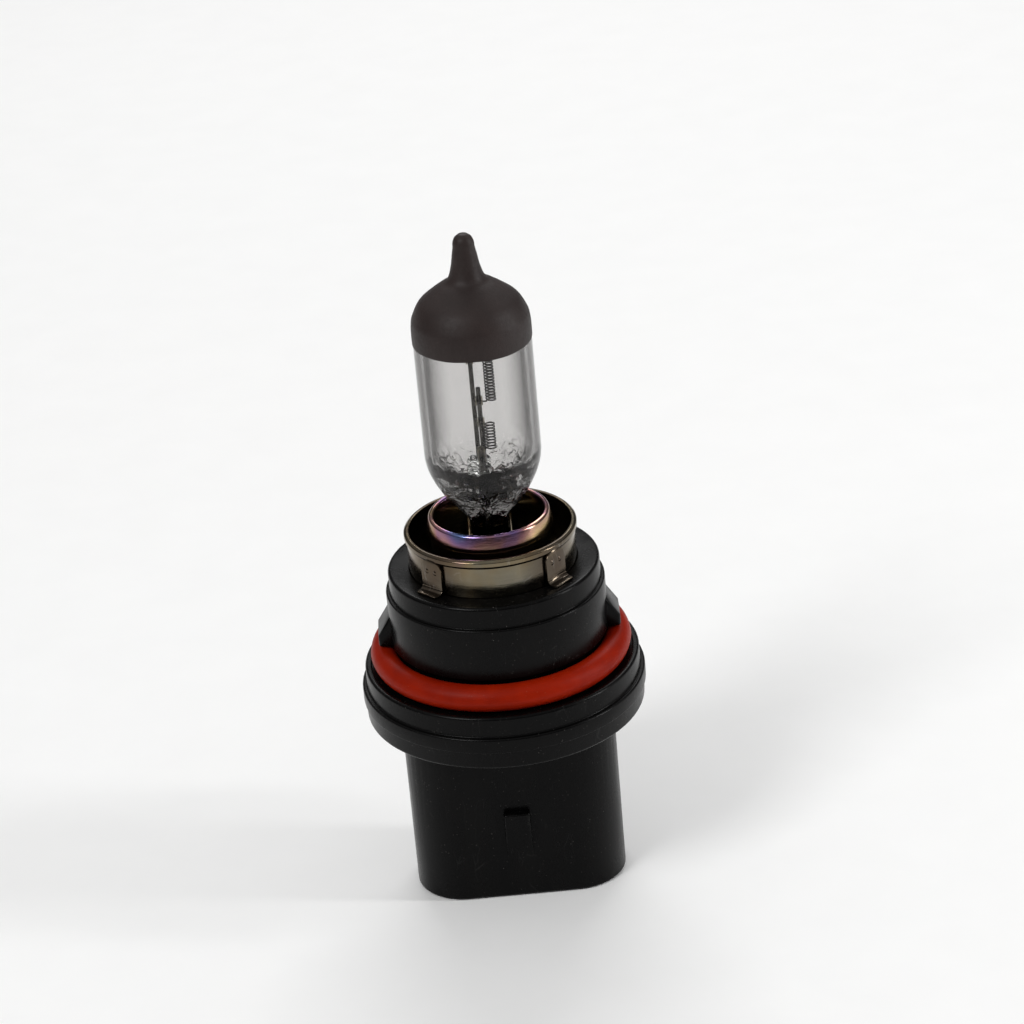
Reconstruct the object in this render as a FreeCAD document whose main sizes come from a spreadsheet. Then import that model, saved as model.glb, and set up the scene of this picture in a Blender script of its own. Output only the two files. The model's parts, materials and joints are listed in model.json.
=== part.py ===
import FreeCAD, Part
import os
import re
import Sketcher

# Two-filament headlight bulb. Millimetres, +Z from the plug end to the glass tip.
# The origin is the centre of the plug shroud's end face. Heights named "above the
# seat" are measured from the flange's top face, which seats in the lamp.

FULL_TURN = 360  # degrees
NEAR = 0.01  # mm within which two places count as one

doc = FreeCAD.newDocument("headlight_bulb")
sheet = doc.addObject("Spreadsheet::Sheet", "Sizes")

SIZES = [
    ("seat_height", 32.5, "plug end to the flange's top face"),
    # moulded base
    ("flange_lip", 1.5, "flange beyond the O-ring"),
    ("flange_step", 0.6, "how far the top tier stands in"),
    ("flange_thick", 7.1, "flange, top to bottom"),
    ("upper_tier", 2.7, "top tier's depth"),
    ("lower_tier", 2.4, "bottom tier's depth"),
    ("nose_wall", 2.8, "pilot's nose round the metal collar"),
    ("pilot_height", 13.2, "pilot's top above the seat"),
    ("nose_height", 2.9, "stepped nose at the pilot's top"),
    ("nose_step", 0.5, "how far the nose stands in"),
    ("key_reach", 1.5, "keys beyond the pilot"),
    ("key_width", 5.0, "keys across"),
    ("key_height", 1.6, "keys' full height"),
    ("key_ramp", 2.6, "ramp above each key"),
    ("key_arc", 180, "keys spread over this arc, in degrees"),
    ("edge_round", 0.5, "rounding of the moulded edges"),
    ("tail_room", 0.33, "front cavity's wall clear of the blades' corners"),
    ("ledge", 1.4, "ledge in the cavity that the collar stands on"),
    ("floor_top", 4.0, "cavity floor below the seat"),
    ("floor_thick", 4.0, "wall that holds the blades"),
    ("side_room", 3.8, "plug shroud clear of the outer blades, X"),
    ("face_room", 2.45, "plug shroud clear of the blades' edges, Y"),
    ("shroud_corner", 6.5, "shroud's corner radius"),
    ("shroud_wall", 2.0, "shroud's wall"),
    ("latch_width", 3.4, "latch wedge across"),
    ("latch_reach", 1.1, "latch wedge out from the wall"),
    ("latch_low", 5.0, "wedge's toe above the plug end"),
    ("latch_high", 13.0, "wedge's catch above the plug end"),
    ("latch_flat", 1.2, "wedge's flat face below its catch"),
    # rubber seal
    ("ring_section", 1.75, "O-ring section radius"),
    ("groove_depth", 0.7, "groove round the pilot's foot"),
    ("gland_deep", 0.3, "O-ring's bed below the seat"),
    ("gland_spare", 0.1, "seat clear of the O-ring's outside"),
    ("groove_spare", 0.1, "groove taller than the O-ring"),
    # terminals
    ("blade_thick", 0.8, "blade thickness"),
    ("blade_width", 6.3, "blade width"),
    ("blade_pitch", 8.0, "blade spacing"),
    ("blade_tip", 9.0, "blade's tip inside the plug end"),
    ("blade_chamfer", 0.9, "tip corners"),
    ("tail_width", 1.6, "welding tail"),
    ("tail_top", 4.5, "tail's top above the seat"),
    ("potting_thick", 1.5, "potting over the floor"),
    ("blade_proud", 0.5, "blade's full width above the potting"),
    # capsule
    ("bulb_radius", 7.35, "glass tube"),
    ("glass_wall", 1.0, "glass thickness"),
    ("dome_top", 51.6, "dome above the seat"),
    ("dome_round", 5.6, "dome's rounding"),
    ("tip_top", 57.4, "exhaust tip above the seat"),
    ("tip_radius", 1.05, "exhaust tip near its end"),
    ("tip_foot", 1.75, "exhaust tip at the dome"),
    ("tip_taper", 2.2, "exhaust tip's taper above the dome"),
    ("tip_flat", 0.1, "flat left inside the tip's rounding"),
    ("shoulder_top", 27.3, "where the tube starts to narrow"),
    ("shoulder_low", 20.8, "where the flat seal starts"),
    ("seal_thick", 4.9, "pinched seal, X"),
    ("seal_width", 10.8, "pinched seal, Y"),
    ("seal_low", 10.0, "seal's end above the seat"),
    ("gas_low", 23.6, "bottom of the gas space above the seat"),
    ("gas_foot", 3.0, "gas space's radius at its bottom"),
    ("gas_rise", 0.8, "gas space is full width this far above the shoulder"),
    ("coat_edge", 43.5, "coating's edge above the seat"),
    ("coat_thick", 0.1, "coating's thickness"),
    # support wires and filaments
    ("lead_radius", 0.3, "support wires"),
    ("lead_spread", 2.6, "outer wires from the middle, Y"),
    ("lead_straight", 2.0, "wires' straight run below the seal"),
    ("lead_slope", 0.6, "drop of the wires' sloping run"),
    ("lead_overlap", 3.0, "wires beside the tails they are welded to"),
    ("weld_bite", 0.05, "how far welded or melted pieces bite"),
    ("low_lead_x", -0.6, "tall wire, X"),
    ("common_lead_x", 0.1, "shared wire, X"),
    ("high_lead_x", -0.2, "short wire, X"),
    ("low_lead_top", 42.2, "tall wire's bend above the seat"),
    ("common_lead_top", 37.2, "shared wire's top above the seat"),
    ("high_lead_top", 27.9, "short wire's bend above the seat"),
    ("coil_y", -0.9, "both coils, Y"),
    ("coil_wire", 0.1, "coil wire radius"),
    ("low_coil_x", 1.6, "low-beam coil, X"),
    ("low_coil_radius", 0.575, "low-beam coil to the wire's middle"),
    ("low_coil_low", 35.7, "low-beam coil's start above the seat"),
    ("low_coil_long", 5.6, "low-beam coil's length"),
    ("high_coil_x", 1.05, "high-beam coil, X"),
    ("high_coil_radius", 0.65, "high-beam coil to the wire's middle"),
    ("high_coil_low", 29.2, "high-beam coil's start above the seat"),
    ("high_coil_long", 3.6, "high-beam coil's length"),
    ("coil_pitch", 0.4, "coil pitch"),
    ("crimp_thick", 1.0, "folded crimps, thickness"),
    ("crimp_spare", 0.35, "crimp beyond what it holds"),
    ("crimp_wrap", 0.1, "crimp round the wire"),
    ("crimp_round", 0.2, "crimps' folded corners"),
    ("bead_radius", 0.8, "glass bead rods"),
    ("bead_long", 6.4, "glass bead rods, Y"),
    ("bead_height", 26.2, "glass bead rods above the seat"),
    # metal holder
    ("collar_wall", 0.4, "sheet thickness"),
    ("collar_low", 9.0, "collar's floor above the seat"),
    ("collar_top", 18.4, "collar's rim above the seat"),
    ("collar_floor", 2.7, "collar's floor, in from its outside"),
    ("rim_bead", 0.3, "rolled rim beyond the wall"),
    ("rim_high", 1.1, "rolled rim's height"),
    ("tab_width", 3.4, "arched tabs"),
    ("tab_high", 4.6, "arched tabs above the pilot"),
    ("tab_foot", 1.6, "tab feet beyond the wall"),
    ("clip_spare", 0.64, "focusing sleeve clear of the seal clip's corners"),
    ("sleeve_wall", 0.5, "focusing sleeve's wall"),
    ("lip_round", 0.7, "rolled lip's section radius"),
    ("lip_height", 19.6, "rolled lip's middle above the seat"),
    ("clip_wall", 0.4, "seal clip's sheet"),
    ("clip_low", 12.0, "seal clip's foot above the seat"),
    ("clip_high", 17.4, "seal clip's top above the seat"),
    # how the solids are built up
    ("run_in", 0.5, "how far joined shapes run into each other"),
    ("cut_past", 1.0, "how far cutting shapes run past what they cut"),
    ("hair", 0.01, "offset that keeps two faces from coinciding"),
]

for row, (alias, number, note) in enumerate(SIZES, start=1):
    sheet.set(f"A{row}", note)
    sheet.set(f"B{row}", str(number))
    sheet.setAlias(f"B{row}", alias)
doc.recompute()

# Sizes that follow from what they hold or fit, from the inside outwards.
WORKED_OUT = {
    "shroud_width": "2 * (blade_pitch + side_room + shroud_wall)",
    "shroud_depth": "blade_width + 2 * face_room + 2 * shroud_wall",
    "bore_radius": "hypot(blade_pitch + blade_thick / 2; blade_width / 2) + tail_room",
    "collar_radius": "bore_radius + ledge",
    "collar_hole": "collar_radius - collar_floor",
    "nose_radius": "collar_radius + nose_wall",
    "pilot_radius": "nose_radius + nose_step",
    "groove_radius": "pilot_radius - groove_depth",
    "gland_floor": "seat_height - gland_deep",
    "gland_radius": "groove_radius + 2 * ring_section + gland_spare",
    "groove_top": "gland_floor + 2 * ring_section + groove_spare",
    "flange_radius": "groove_radius + 2 * ring_section + flange_lip",
    "tier_radius": "flange_radius - flange_step",
    "flange_low": "seat_height - flange_thick",
    "floor_level": "seat_height - floor_top",
    "nose_low": "seat_height + pilot_height - nose_height",
    "pilot_top": "seat_height + pilot_height",
    "clip_corner": "hypot(seal_thick / 2 + clip_wall; seal_width / 2 + clip_wall)",
    "sleeve_inner": "clip_corner + clip_spare",
    "sleeve_radius": "sleeve_inner + sleeve_wall",
    "sleeve_low": "collar_foot + collar_wall",
    "collar_foot": "seat_height + collar_low",
    "collar_rim": "seat_height + collar_top",
    "inner_wall": "collar_radius - collar_wall",
    "dome_level": "seat_height + dome_top",
    "shoulder_foot": "seat_height + shoulder_low",
    "shoulder_rim": "seat_height + shoulder_top",
    "gas_radius": "bulb_radius - glass_wall",
    "gas_top": "dome_level - glass_wall",
    "middle_of_seal": "seat_height + (seal_low + shoulder_low) / 2",
    "beside_tail": "blade_thick / 2 + lead_radius - weld_bite",
    "low_coil_high": "low_coil_low + low_coil_long",
    "high_coil_high": "high_coil_low + high_coil_long",
}
NAMES = {alias for alias, number, note in SIZES}
SUBPARTS = []


def bound(text):
    """An expression on named sizes, written so that any object can use it."""

    def swap(match):
        word = match[0]
        if word in WORKED_OUT:
            return f"({bound(WORKED_OUT[word])})"
        return "Sizes." + word if word in NAMES else word

    return re.sub(r"[a-z_]+", swap, text)


def value(text):
    """The number that an expression on the sheet's names stands for now."""
    return float(sheet.evalExpression(bound(text)))


def bind(thing, **expressions):
    for name, text in expressions.items():
        thing.setExpression(name, bound(text))


def move(thing, x="0", y="0", z="0"):
    for axis, text in zip("xyz", (x, y, z)):
        thing.setExpression(f"Placement.Base.{axis}", bound(text))


def keep(thing, node):
    """Mark a finished sub-part; its label names its file."""
    thing.Label = node
    SUBPARTS.append(thing)
    return thing


# ---- sketches -------------------------------------------------------------


def new_body(name):
    return doc.addObject("PartDesign::Body", name)


def origin_part(body, role):
    return next(f for f in body.Origin.OriginFeatures if f.Role == role)


def new_sketch(body, role, offset="0"):
    """A sketch on one of the body's own origin planes, moved along its normal."""
    sketch = body.newObject("Sketcher::SketchObject", f"{body.Name}_outline")
    sketch.AttachmentSupport = [(origin_part(body, role), "")]
    sketch.MapMode = "FlatFace"
    if offset != "0":
        sketch.setExpression("AttachmentOffset.Base.z", bound(offset))
    return sketch


def pin_point(sketch, curve, end, x, y):
    """Hold one point of a curve at a place given by two expressions."""
    for text, kind, axis in ((x, "DistanceX", -2), (y, "DistanceY", -1)):
        if text == "0":
            sketch.addConstraint(Sketcher.Constraint("PointOnObject", curve, end, axis))
            continue
        rule = Sketcher.Constraint(kind, -1, 1, curve, end, value(text))
        number = sketch.addConstraint(rule)
        sketch.setExpression(f"Constraints[{number}]", bound(text))


def draw_lines(sketch, corners, closed=True):
    """Straight lines through the corners, each corner held by two expressions."""
    points = [FreeCAD.Vector(value(x), value(y), 0) for x, y in corners]
    count = len(points) if closed else len(points) - 1
    first = sketch.GeometryCount
    for i in range(count):
        end = points[(i + 1) % len(points)]
        sketch.addGeometry(Part.LineSegment(points[i], end), False)
    for i in range(count - 1 + closed):
        joined = first + (i + 1) % count
        sketch.addConstraint(Sketcher.Constraint("Coincident", first + i, 2, joined, 1))
    for i in range(count):
        pin_point(sketch, first + i, 1, *corners[i])
    if not closed:
        pin_point(sketch, first + count - 1, 2, *corners[-1])


def draw_box(sketch, half_x, half_y, x="0", y="0"):
    """A rectangle about a middle point."""
    left, right = f"{x} - ({half_x})", f"{x} + ({half_x})"
    low, high = f"{y} - ({half_y})", f"{y} + ({half_y})"
    draw_lines(sketch, [(left, low), (right, low), (right, high), (left, high)])


def draw_circle(sketch, radius, x="0", y="0"):
    centre = FreeCAD.Vector(value(x), value(y), 0)
    up = FreeCAD.Vector(0, 0, 1)
    curve = sketch.addGeometry(Part.Circle(centre, up, value(radius)), False)
    pin_point(sketch, curve, 3, x, y)
    number = sketch.addConstraint(Sketcher.Constraint("Radius", curve, value(radius)))
    sketch.setExpression(f"Constraints[{number}]", bound(radius))


# ---- features -------------------------------------------------------------


def feature(body, kind, sketch, **expressions):
    made = body.newObject(f"PartDesign::{kind}", f"{body.Name}_{kind}")
    made.Profile = sketch
    bind(made, **expressions)
    return made


def turn(body, corners, kind="Revolution"):
    """A full turn of an outline of (radius, height) corners about the axis."""
    sketch = new_sketch(body, "XZ_Plane")
    draw_lines(sketch, corners)
    made = feature(body, kind, sketch)
    made.ReferenceAxis = (sketch, ["V_Axis"])
    made.Angle = FULL_TURN
    doc.recompute()
    return made


def pad(body, sketch, length, kind="Pad", symmetric=False, reverse=False):
    made = feature(body, kind, sketch, Length=length)
    made.SideType = "Symmetric" if symmetric else "One side"
    made.Reversed = reverse
    doc.recompute()
    return made


def around(body, features, count, arc=str(FULL_TURN)):
    """Repeat features evenly about the axis, over a full turn or an arc."""
    made = body.newObject("PartDesign::PolarPattern", f"{body.Name}_ring")
    made.Originals = features
    made.Axis = (origin_part(body, "Z_Axis"), [""])
    bind(made, Angle=arc)
    made.Occurrences = count
    body.Tip = made
    doc.recompute()
    return made


def round_edges(body, radius, wanted):
    """Fillet the edges of the body's last feature that a test picks out."""
    last = body.Tip
    names = [f"Edge{i}" for i, e in enumerate(last.Shape.Edges, start=1) if wanted(e)]
    made = body.newObject("PartDesign::Fillet", f"{body.Name}_rounding")
    made.Base = (last, names)
    bind(made, Radius=radius)
    doc.recompute()
    return made


def circle_at(height, radius):
    """Test for a round edge at a height, both given by expressions."""
    level, size = value(height), value(radius)

    def test(edge):
        if not isinstance(edge.Curve, Part.Circle):
            return False
        flat = abs(edge.Curve.Axis.z) > 1 - NEAR and abs(edge.Curve.Center.z - level) < NEAR
        return flat and abs(edge.Curve.Radius - size) < NEAR

    return test


def upright_between(low, high, reach):
    """Test for an upright straight edge within heights and near the axis."""
    bottom, top, limit = value(low) - NEAR, value(high) + NEAR, value(reach) + NEAR

    def test(edge):
        box = edge.BoundBox
        upright = box.XLength < NEAR and box.YLength < NEAR
        near = max(abs(box.XMin), abs(box.YMin)) < limit
        return upright and near and box.ZMin > bottom and box.ZMax < top

    return test


# ---- moulded base: pilot, keys, O-ring groove, flange and plug shroud ------

base = new_body("moulded_base")
turn(base, [
    ("0", "flange_low"),
    ("flange_radius - flange_step / 2", "flange_low"),
    ("flange_radius - flange_step / 2", "flange_low + lower_tier"),
    ("flange_radius", "flange_low + lower_tier"),
    ("flange_radius", "seat_height - upper_tier"),
    ("tier_radius", "seat_height - upper_tier"),
    ("tier_radius", "seat_height"),
    ("gland_radius", "seat_height"),
    ("gland_radius", "gland_floor"),
    ("groove_radius", "gland_floor"),
    ("groove_radius", "groove_top"),
    ("pilot_radius", "groove_top"),
    ("pilot_radius", "nose_low"),
    ("nose_radius", "nose_low"),
    ("nose_radius", "pilot_top"),
    ("0", "pilot_top"),
])
round_edges(base, "edge_round", circle_at("pilot_top", "nose_radius"))
round_edges(base, "edge_round / 2", circle_at("seat_height", "tier_radius"))

shroud = new_sketch(base, "XY_Plane")
draw_box(shroud, "shroud_width / 2", "shroud_depth / 2")
pad(base, shroud, "flange_low + run_in")
round_edges(base, "shroud_corner", upright_between("0", "flange_low", "shroud_width / 2"))


def shroud_end(edge):
    box = edge.BoundBox
    return box.ZMin < NEAR and box.ZMax < NEAR


round_edges(base, "edge_round", shroud_end)

latch = new_sketch(base, "YZ_Plane", "-latch_width / 2")
front_wall = "-shroud_depth / 2"
draw_lines(latch, [
    (f"{front_wall} + run_in", "latch_low"),
    (front_wall, "latch_low"),
    (f"{front_wall} - latch_reach", "latch_high - latch_flat"),
    (f"{front_wall} - latch_reach", "latch_high"),
    (f"{front_wall} + run_in", "latch_high"),
])
pad(base, latch, "latch_width")

key = new_sketch(base, "XZ_Plane", "-key_width / 2")
draw_lines(key, [
    ("pilot_radius - 2 * run_in", "groove_top"),
    ("pilot_radius + key_reach", "groove_top"),
    ("pilot_radius + key_reach", "groove_top + key_height"),
    ("pilot_radius - run_in / 2", "groove_top + key_height + key_ramp"),
    ("pilot_radius - 2 * run_in", "groove_top + key_height + key_ramp"),
])
key_pad = pad(base, key, "key_width")
around(base, [key_pad], 3, "key_arc")

turn(base, [
    ("0", "floor_level"),
    ("bore_radius", "floor_level"),
    ("bore_radius", "seat_height + collar_low"),
    ("collar_radius", "seat_height + collar_low"),
    ("collar_radius", "pilot_top + cut_past"),
    ("0", "pilot_top + cut_past"),
], kind="Groove")

socket = new_body("socket_space")
opening = new_sketch(socket, "XY_Plane", "-cut_past")
draw_box(opening, "shroud_width / 2 - shroud_wall", "shroud_depth / 2 - shroud_wall")
pad(socket, opening, "floor_level - floor_thick + cut_past")
round_edges(
    socket,
    "shroud_corner - shroud_wall",
    upright_between("-cut_past", "floor_level", "shroud_width / 2"),
)

slots = []
for side in (-1, 0, 1):
    slot = doc.addObject("Part::Box", "blade_slot")
    through = "floor_thick + potting_thick + 2 * cut_past"
    bind(slot, Length="blade_thick", Width="blade_width", Height=through)
    move(
        slot,
        f"{side} * blade_pitch - blade_thick / 2",
        "-blade_width / 2",
        "floor_level - floor_thick - cut_past",
    )
    slots.append(slot)

hollows = doc.addObject("Part::MultiFuse", "base_hollows")
hollows.Shapes = [socket] + slots
housing = doc.addObject("Part::Cut", "housing")
housing.Base = base
housing.Tool = hollows
keep(housing, "base_housing")

# ---- rubber seal ring ------------------------------------------------------

ring = doc.addObject("Part::Torus", "ring")
bind(ring, Radius1="groove_radius + ring_section", Radius2="ring_section")
move(ring, z="gland_floor + ring_section")
keep(ring, "o_ring")

# ---- terminals and the potting over the floor ------------------------------


def terminal(node, side, tail_side):
    """A stamped blade: its tail stands beside the support wire it is welded to."""
    body = new_body(node)
    half = "blade_width / 2"
    tail = {
        -1: ("-blade_width / 2", "-blade_width / 2 + tail_width"),
        0: ("-tail_width / 2", "tail_width / 2"),
        1: ("blade_width / 2 - tail_width", "blade_width / 2"),
    }[tail_side]
    shelf = "floor_level + potting_thick + blade_proud"
    tail_end = "seat_height + tail_top"
    corners = [
        (f"-{half} + blade_chamfer", "blade_tip"),
        (f"{half} - blade_chamfer", "blade_tip"),
        (half, "blade_tip + blade_chamfer"),
        (half, shelf if tail_side < 1 else tail_end),
    ]
    if tail_side < 1:
        corners += [(tail[1], shelf), (tail[1], tail_end)]
    else:
        corners += [(tail[0], tail_end), (tail[0], shelf)]
    if tail_side == 0:
        corners += [(tail[0], tail_end), (tail[0], shelf)]
    corners += [
        (f"-{half}", shelf if tail_side > -1 else tail_end),
        (f"-{half}", "blade_tip + blade_chamfer"),
    ]
    blade = new_sketch(body, "YZ_Plane", f"{side} * blade_pitch - blade_thick / 2")
    draw_lines(blade, corners)
    pad(body, blade, "blade_thick")
    return keep(body, node)


terminal("high_beam_terminal", -1, -1)
terminal("common_terminal", 0, 0)
terminal("low_beam_terminal", 1, 1)

potting = doc.addObject("Part::Cylinder", "potting")
bind(potting, Radius="bore_radius", Height="potting_thick")
move(potting, z="floor_level")
blade_holes = doc.addObject("Part::MultiFuse", "blade_holes")
blade_holes.Shapes = slots
sealing = doc.addObject("Part::Cut", "sealing")
sealing.Base = potting
sealing.Tool = blade_holes
keep(sealing, "terminal_seal")

# ---- glass capsule and its coating -----------------------------------------


def domed_blank(name, low, radius, top, rounding, tip_foot, tip_radius, tip_top):
    """A tube closed by a rounded dome with the sealed exhaust tip on it."""
    body = new_body(name)
    turn(body, [("0", low), (radius, low), (radius, top), ("0", top)])
    round_edges(body, rounding, circle_at(top, radius))
    inside = f"{top} - glass_wall"
    turn(body, [
        ("0", inside),
        (tip_foot, inside),
        (tip_radius, f"{top} + tip_taper"),
        (tip_radius, tip_top),
        ("0", tip_top),
    ])
    round_edges(body, f"{tip_radius} - tip_flat", circle_at(tip_top, tip_radius))
    return body


blank = domed_blank(
    "glass_blank",
    "seat_height + shoulder_low",
    "bulb_radius",
    "dome_level",
    "dome_round",
    "tip_foot",
    "tip_radius",
    "seat_height + tip_top",
)

for side in ("", "-"):
    pinch = new_sketch(blank, "XZ_Plane")
    draw_lines(pinch, [
        (f"{side}seal_thick / 2", "shoulder_foot - cut_past"),
        (f"{side}seal_thick / 2", "shoulder_foot"),
        (f"{side}(bulb_radius + hair)", "shoulder_rim"),
        (f"{side}(bulb_radius + cut_past)", "shoulder_rim"),
        (f"{side}(bulb_radius + cut_past)", "shoulder_foot - cut_past"),
    ])
    pad(blank, pinch, "4 * bulb_radius", kind="Pocket", symmetric=True)
for side in ("", "-"):
    narrowing = new_sketch(blank, "YZ_Plane")
    draw_lines(narrowing, [
        (f"{side}seal_width / 2", "shoulder_foot - cut_past"),
        (f"{side}seal_width / 2", "shoulder_foot"),
        (f"{side}(bulb_radius + hair)", "shoulder_rim"),
        (f"{side}(bulb_radius + cut_past)", "shoulder_rim"),
        (f"{side}(bulb_radius + cut_past)", "shoulder_foot - cut_past"),
    ])
    pad(blank, narrowing, "4 * bulb_radius", kind="Pocket", symmetric=True)
seal = new_sketch(blank, "XY_Plane", "seat_height + seal_low")
draw_box(seal, "seal_thick / 2", "seal_width / 2")
pad(blank, seal, "shoulder_low - seal_low + run_in")

gas = new_body("gas_space")
turn(gas, [
    ("0", "seat_height + gas_low"),
    ("gas_foot", "seat_height + gas_low"),
    ("gas_radius", "seat_height + shoulder_top + gas_rise"),
    ("gas_radius", "gas_top"),
    ("0", "gas_top"),
])
round_edges(gas, "dome_round - glass_wall", circle_at("gas_top", "gas_radius"))
envelope = doc.addObject("Part::Cut", "envelope")
envelope.Base = blank
envelope.Tool = gas
keep(envelope, "glass_envelope")

coat_blank = domed_blank(
    "coat_blank",
    "seat_height + coat_edge",
    "bulb_radius + coat_thick",
    "dome_level + coat_thick",
    "dome_round + coat_thick",
    "tip_foot + coat_thick",
    "tip_radius + coat_thick",
    "seat_height + tip_top + coat_thick",
)
coating = doc.addObject("Part::Cut", "coating")
coating.Base = coat_blank
coating.Tool = blank
keep(coating, "black_top_coating")

# ---- support wires ---------------------------------------------------------

def wire(node, x, y, top, reach, foot_x):
    """A support wire, cast in the seal. Its top bends across to the coils, and its
    foot runs down beside a terminal's tail."""
    body = new_body(node)
    upper_end = [(y, f"seat_height + {top}")]
    if reach != y:
        upper_end.append((reach, f"seat_height + {top}"))
    weld_high = "seat_height + seal_low - lead_straight"
    runs = [
        ("YZ_Plane", x, [(y, "middle_of_seal")] + upper_end),
        ("XZ_Plane", f"-({y})", [
            (x, "middle_of_seal"),
            (x, weld_high),
            (foot_x, f"{weld_high} - lead_slope"),
            (foot_x, "seat_height + tail_top - lead_overlap"),
        ]),
    ]
    for plane, offset, corners in runs:
        path = new_sketch(body, plane, offset)
        draw_lines(path, corners, closed=False)
        section = new_sketch(body, "XY_Plane", "middle_of_seal")
        draw_circle(section, "lead_radius", x, y)
        doc.recompute()
        pipe = feature(body, "AdditivePipe", section)
        pipe.Spine = path
        pipe.Transition = "Round corner"
        doc.recompute()
    return keep(body, node)


wire(
    "low_beam_lead_wire", "low_lead_x", "lead_spread", "low_lead_top", "coil_y",
    "blade_pitch - (beside_tail)",
)
wire("common_lead_wire", "common_lead_x", "0", "common_lead_top", "0", "beside_tail")
wire(
    "high_beam_lead_wire", "high_lead_x", "-lead_spread", "high_lead_top", "coil_y",
    "-blade_pitch + beside_tail",
)

# ---- coiled filaments ------------------------------------------------------


def filament(node, x, radius, low, length, low_reach, high_reach):
    """A helical coil of tungsten wire with a straight leg at each end."""
    turns = round(value(f"({length}) / coil_pitch"))
    spine = doc.addObject("Part::Helix", f"{node}_helix")
    bind(spine, Radius=radius, Height=length, Pitch=f"({length}) / {turns}")
    section = doc.addObject("Part::Circle", f"{node}_section")
    bind(section, Radius="coil_wire")
    upright = FreeCAD.Rotation(FreeCAD.Vector(1, 0, 0), 90)
    section.Placement = FreeCAD.Placement(FreeCAD.Vector(0, 0, 0), upright)
    section.setExpression("Placement.Base.x", bound(radius))
    doc.recompute()
    sweep = doc.addObject("Part::Sweep", f"{node}_coil")
    sweep.Sections = [section]
    sweep.Spine = spine
    sweep.Solid = True
    sweep.Frenet = True
    half_turn = FreeCAD.Rotation(FreeCAD.Vector(0, 0, 1), 180)
    sweep.Placement = FreeCAD.Placement(FreeCAD.Vector(0, 0, 0), half_turn)
    move(sweep, x, "coil_y", f"seat_height + {low}")
    pieces = [sweep]
    for reach, level in ((low_reach, low), (high_reach, f"{low} + {length}")):
        leg = doc.addObject("Part::Cylinder", f"{node}_leg")
        bind(leg, Radius="coil_wire", Height=f"{x} - {radius} - ({reach})")
        sideways = FreeCAD.Rotation(FreeCAD.Vector(0, 1, 0), 90)
        leg.Placement = FreeCAD.Placement(FreeCAD.Vector(0, 0, 0), sideways)
        move(leg, reach, "coil_y", f"seat_height + {level}")
        pieces.append(leg)
    whole = doc.addObject("Part::MultiFuse", f"{node}_whole")
    whole.Shapes = pieces
    doc.recompute()
    return keep(whole, node)


filament(
    "low_beam_filament", "low_coil_x", "low_coil_radius", "low_coil_low", "low_coil_long",
    "common_lead_x", "low_lead_x",
)
filament(
    "high_beam_filament", "high_coil_x", "high_coil_radius", "high_coil_low",
    "high_coil_long", "high_lead_x", "common_lead_x",
)

# ---- folded crimps that join the coils' legs to the wires -------------------


def crimp(node, x, y_low, y_high, z_low, z_high):
    """A strip folded over a wire and a leg; it reaches past both."""
    body = new_body(node)
    strip = new_sketch(body, "XY_Plane", f"seat_height + {z_low} - crimp_spare")
    middle = f"(({y_low}) + ({y_high})) / 2"
    half = f"(({y_high}) - ({y_low})) / 2 + lead_radius + crimp_wrap"
    draw_box(strip, "crimp_thick / 2", half, x, middle)
    pad(body, strip, f"({z_high}) - ({z_low}) + 2 * crimp_spare")
    reach = "lead_spread + 2 * crimp_thick"
    round_edges(body, "crimp_round", upright_between("0", "seat_height + tip_top", reach))
    return keep(body, node)


crimp("low_front_crimp", "low_lead_x", "coil_y", "coil_y", "low_coil_high", "low_lead_top")
crimp("low_rear_crimp", "common_lead_x", "coil_y", "0", "low_coil_low", "low_coil_low")
crimp("high_front_crimp", "common_lead_x", "coil_y", "0", "high_coil_high", "high_coil_high")
crimp("high_rear_crimp", "high_lead_x", "coil_y", "coil_y", "high_lead_top", "high_coil_low")

# ---- glass beads that hold the wires apart ----------------------------------

rods = []
for side in ("-", "+"):
    rod = doc.addObject("Part::Cylinder", "bead_rod")
    bind(rod, Radius="bead_radius", Height="bead_long")
    along = FreeCAD.Rotation(FreeCAD.Vector(1, 0, 0), 90)
    rod.Placement = FreeCAD.Placement(FreeCAD.Vector(0, 0, 0), along)
    move(
        rod,
        f"low_lead_x {side} (bead_radius - weld_bite)",
        "bead_long / 2",
        "seat_height + bead_height",
    )
    rods.append(rod)
beads = doc.addObject("Part::MultiFuse", "beads")
beads.Shapes = rods
keep(beads, "glass_bridge")

# ---- metal holder: collar, focusing sleeve and seal clip --------------------

collar = new_body("mounting_collar")
turn(collar, [
    ("collar_hole", "collar_foot"),
    ("collar_radius", "collar_foot"),
    ("collar_radius", "collar_rim - rim_high"),
    ("collar_radius + rim_bead", "collar_rim - rim_high + rim_bead"),
    ("collar_radius + rim_bead", "collar_rim - rim_bead"),
    ("collar_radius", "collar_rim"),
    ("inner_wall", "collar_rim"),
    ("inner_wall", "collar_foot + collar_wall"),
    ("collar_hole", "collar_foot + collar_wall"),
])
tab = new_sketch(collar, "XZ_Plane", "collar_radius - collar_wall / 2")
tab_top = "pilot_top + tab_high"
draw_lines(tab, [
    ("-tab_width / 2", "pilot_top"),
    ("tab_width / 2", "pilot_top"),
    ("tab_width / 2", f"{tab_top} - tab_width / 2"),
    ("tab_width / 4", tab_top),
    ("-tab_width / 4", tab_top),
    ("-tab_width / 2", f"{tab_top} - tab_width / 2"),
])
tab_pad = pad(collar, tab, "1.5 * collar_wall")
foot = new_sketch(collar, "XY_Plane", "pilot_top")
draw_lines(foot, [
    ("-tab_width / 2", "-collar_radius - tab_foot"),
    ("tab_width / 2", "-collar_radius - tab_foot"),
    ("tab_width / 2", "-collar_radius + collar_wall / 3"),
    ("-tab_width / 2", "-collar_radius + collar_wall / 3"),
])
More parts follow.
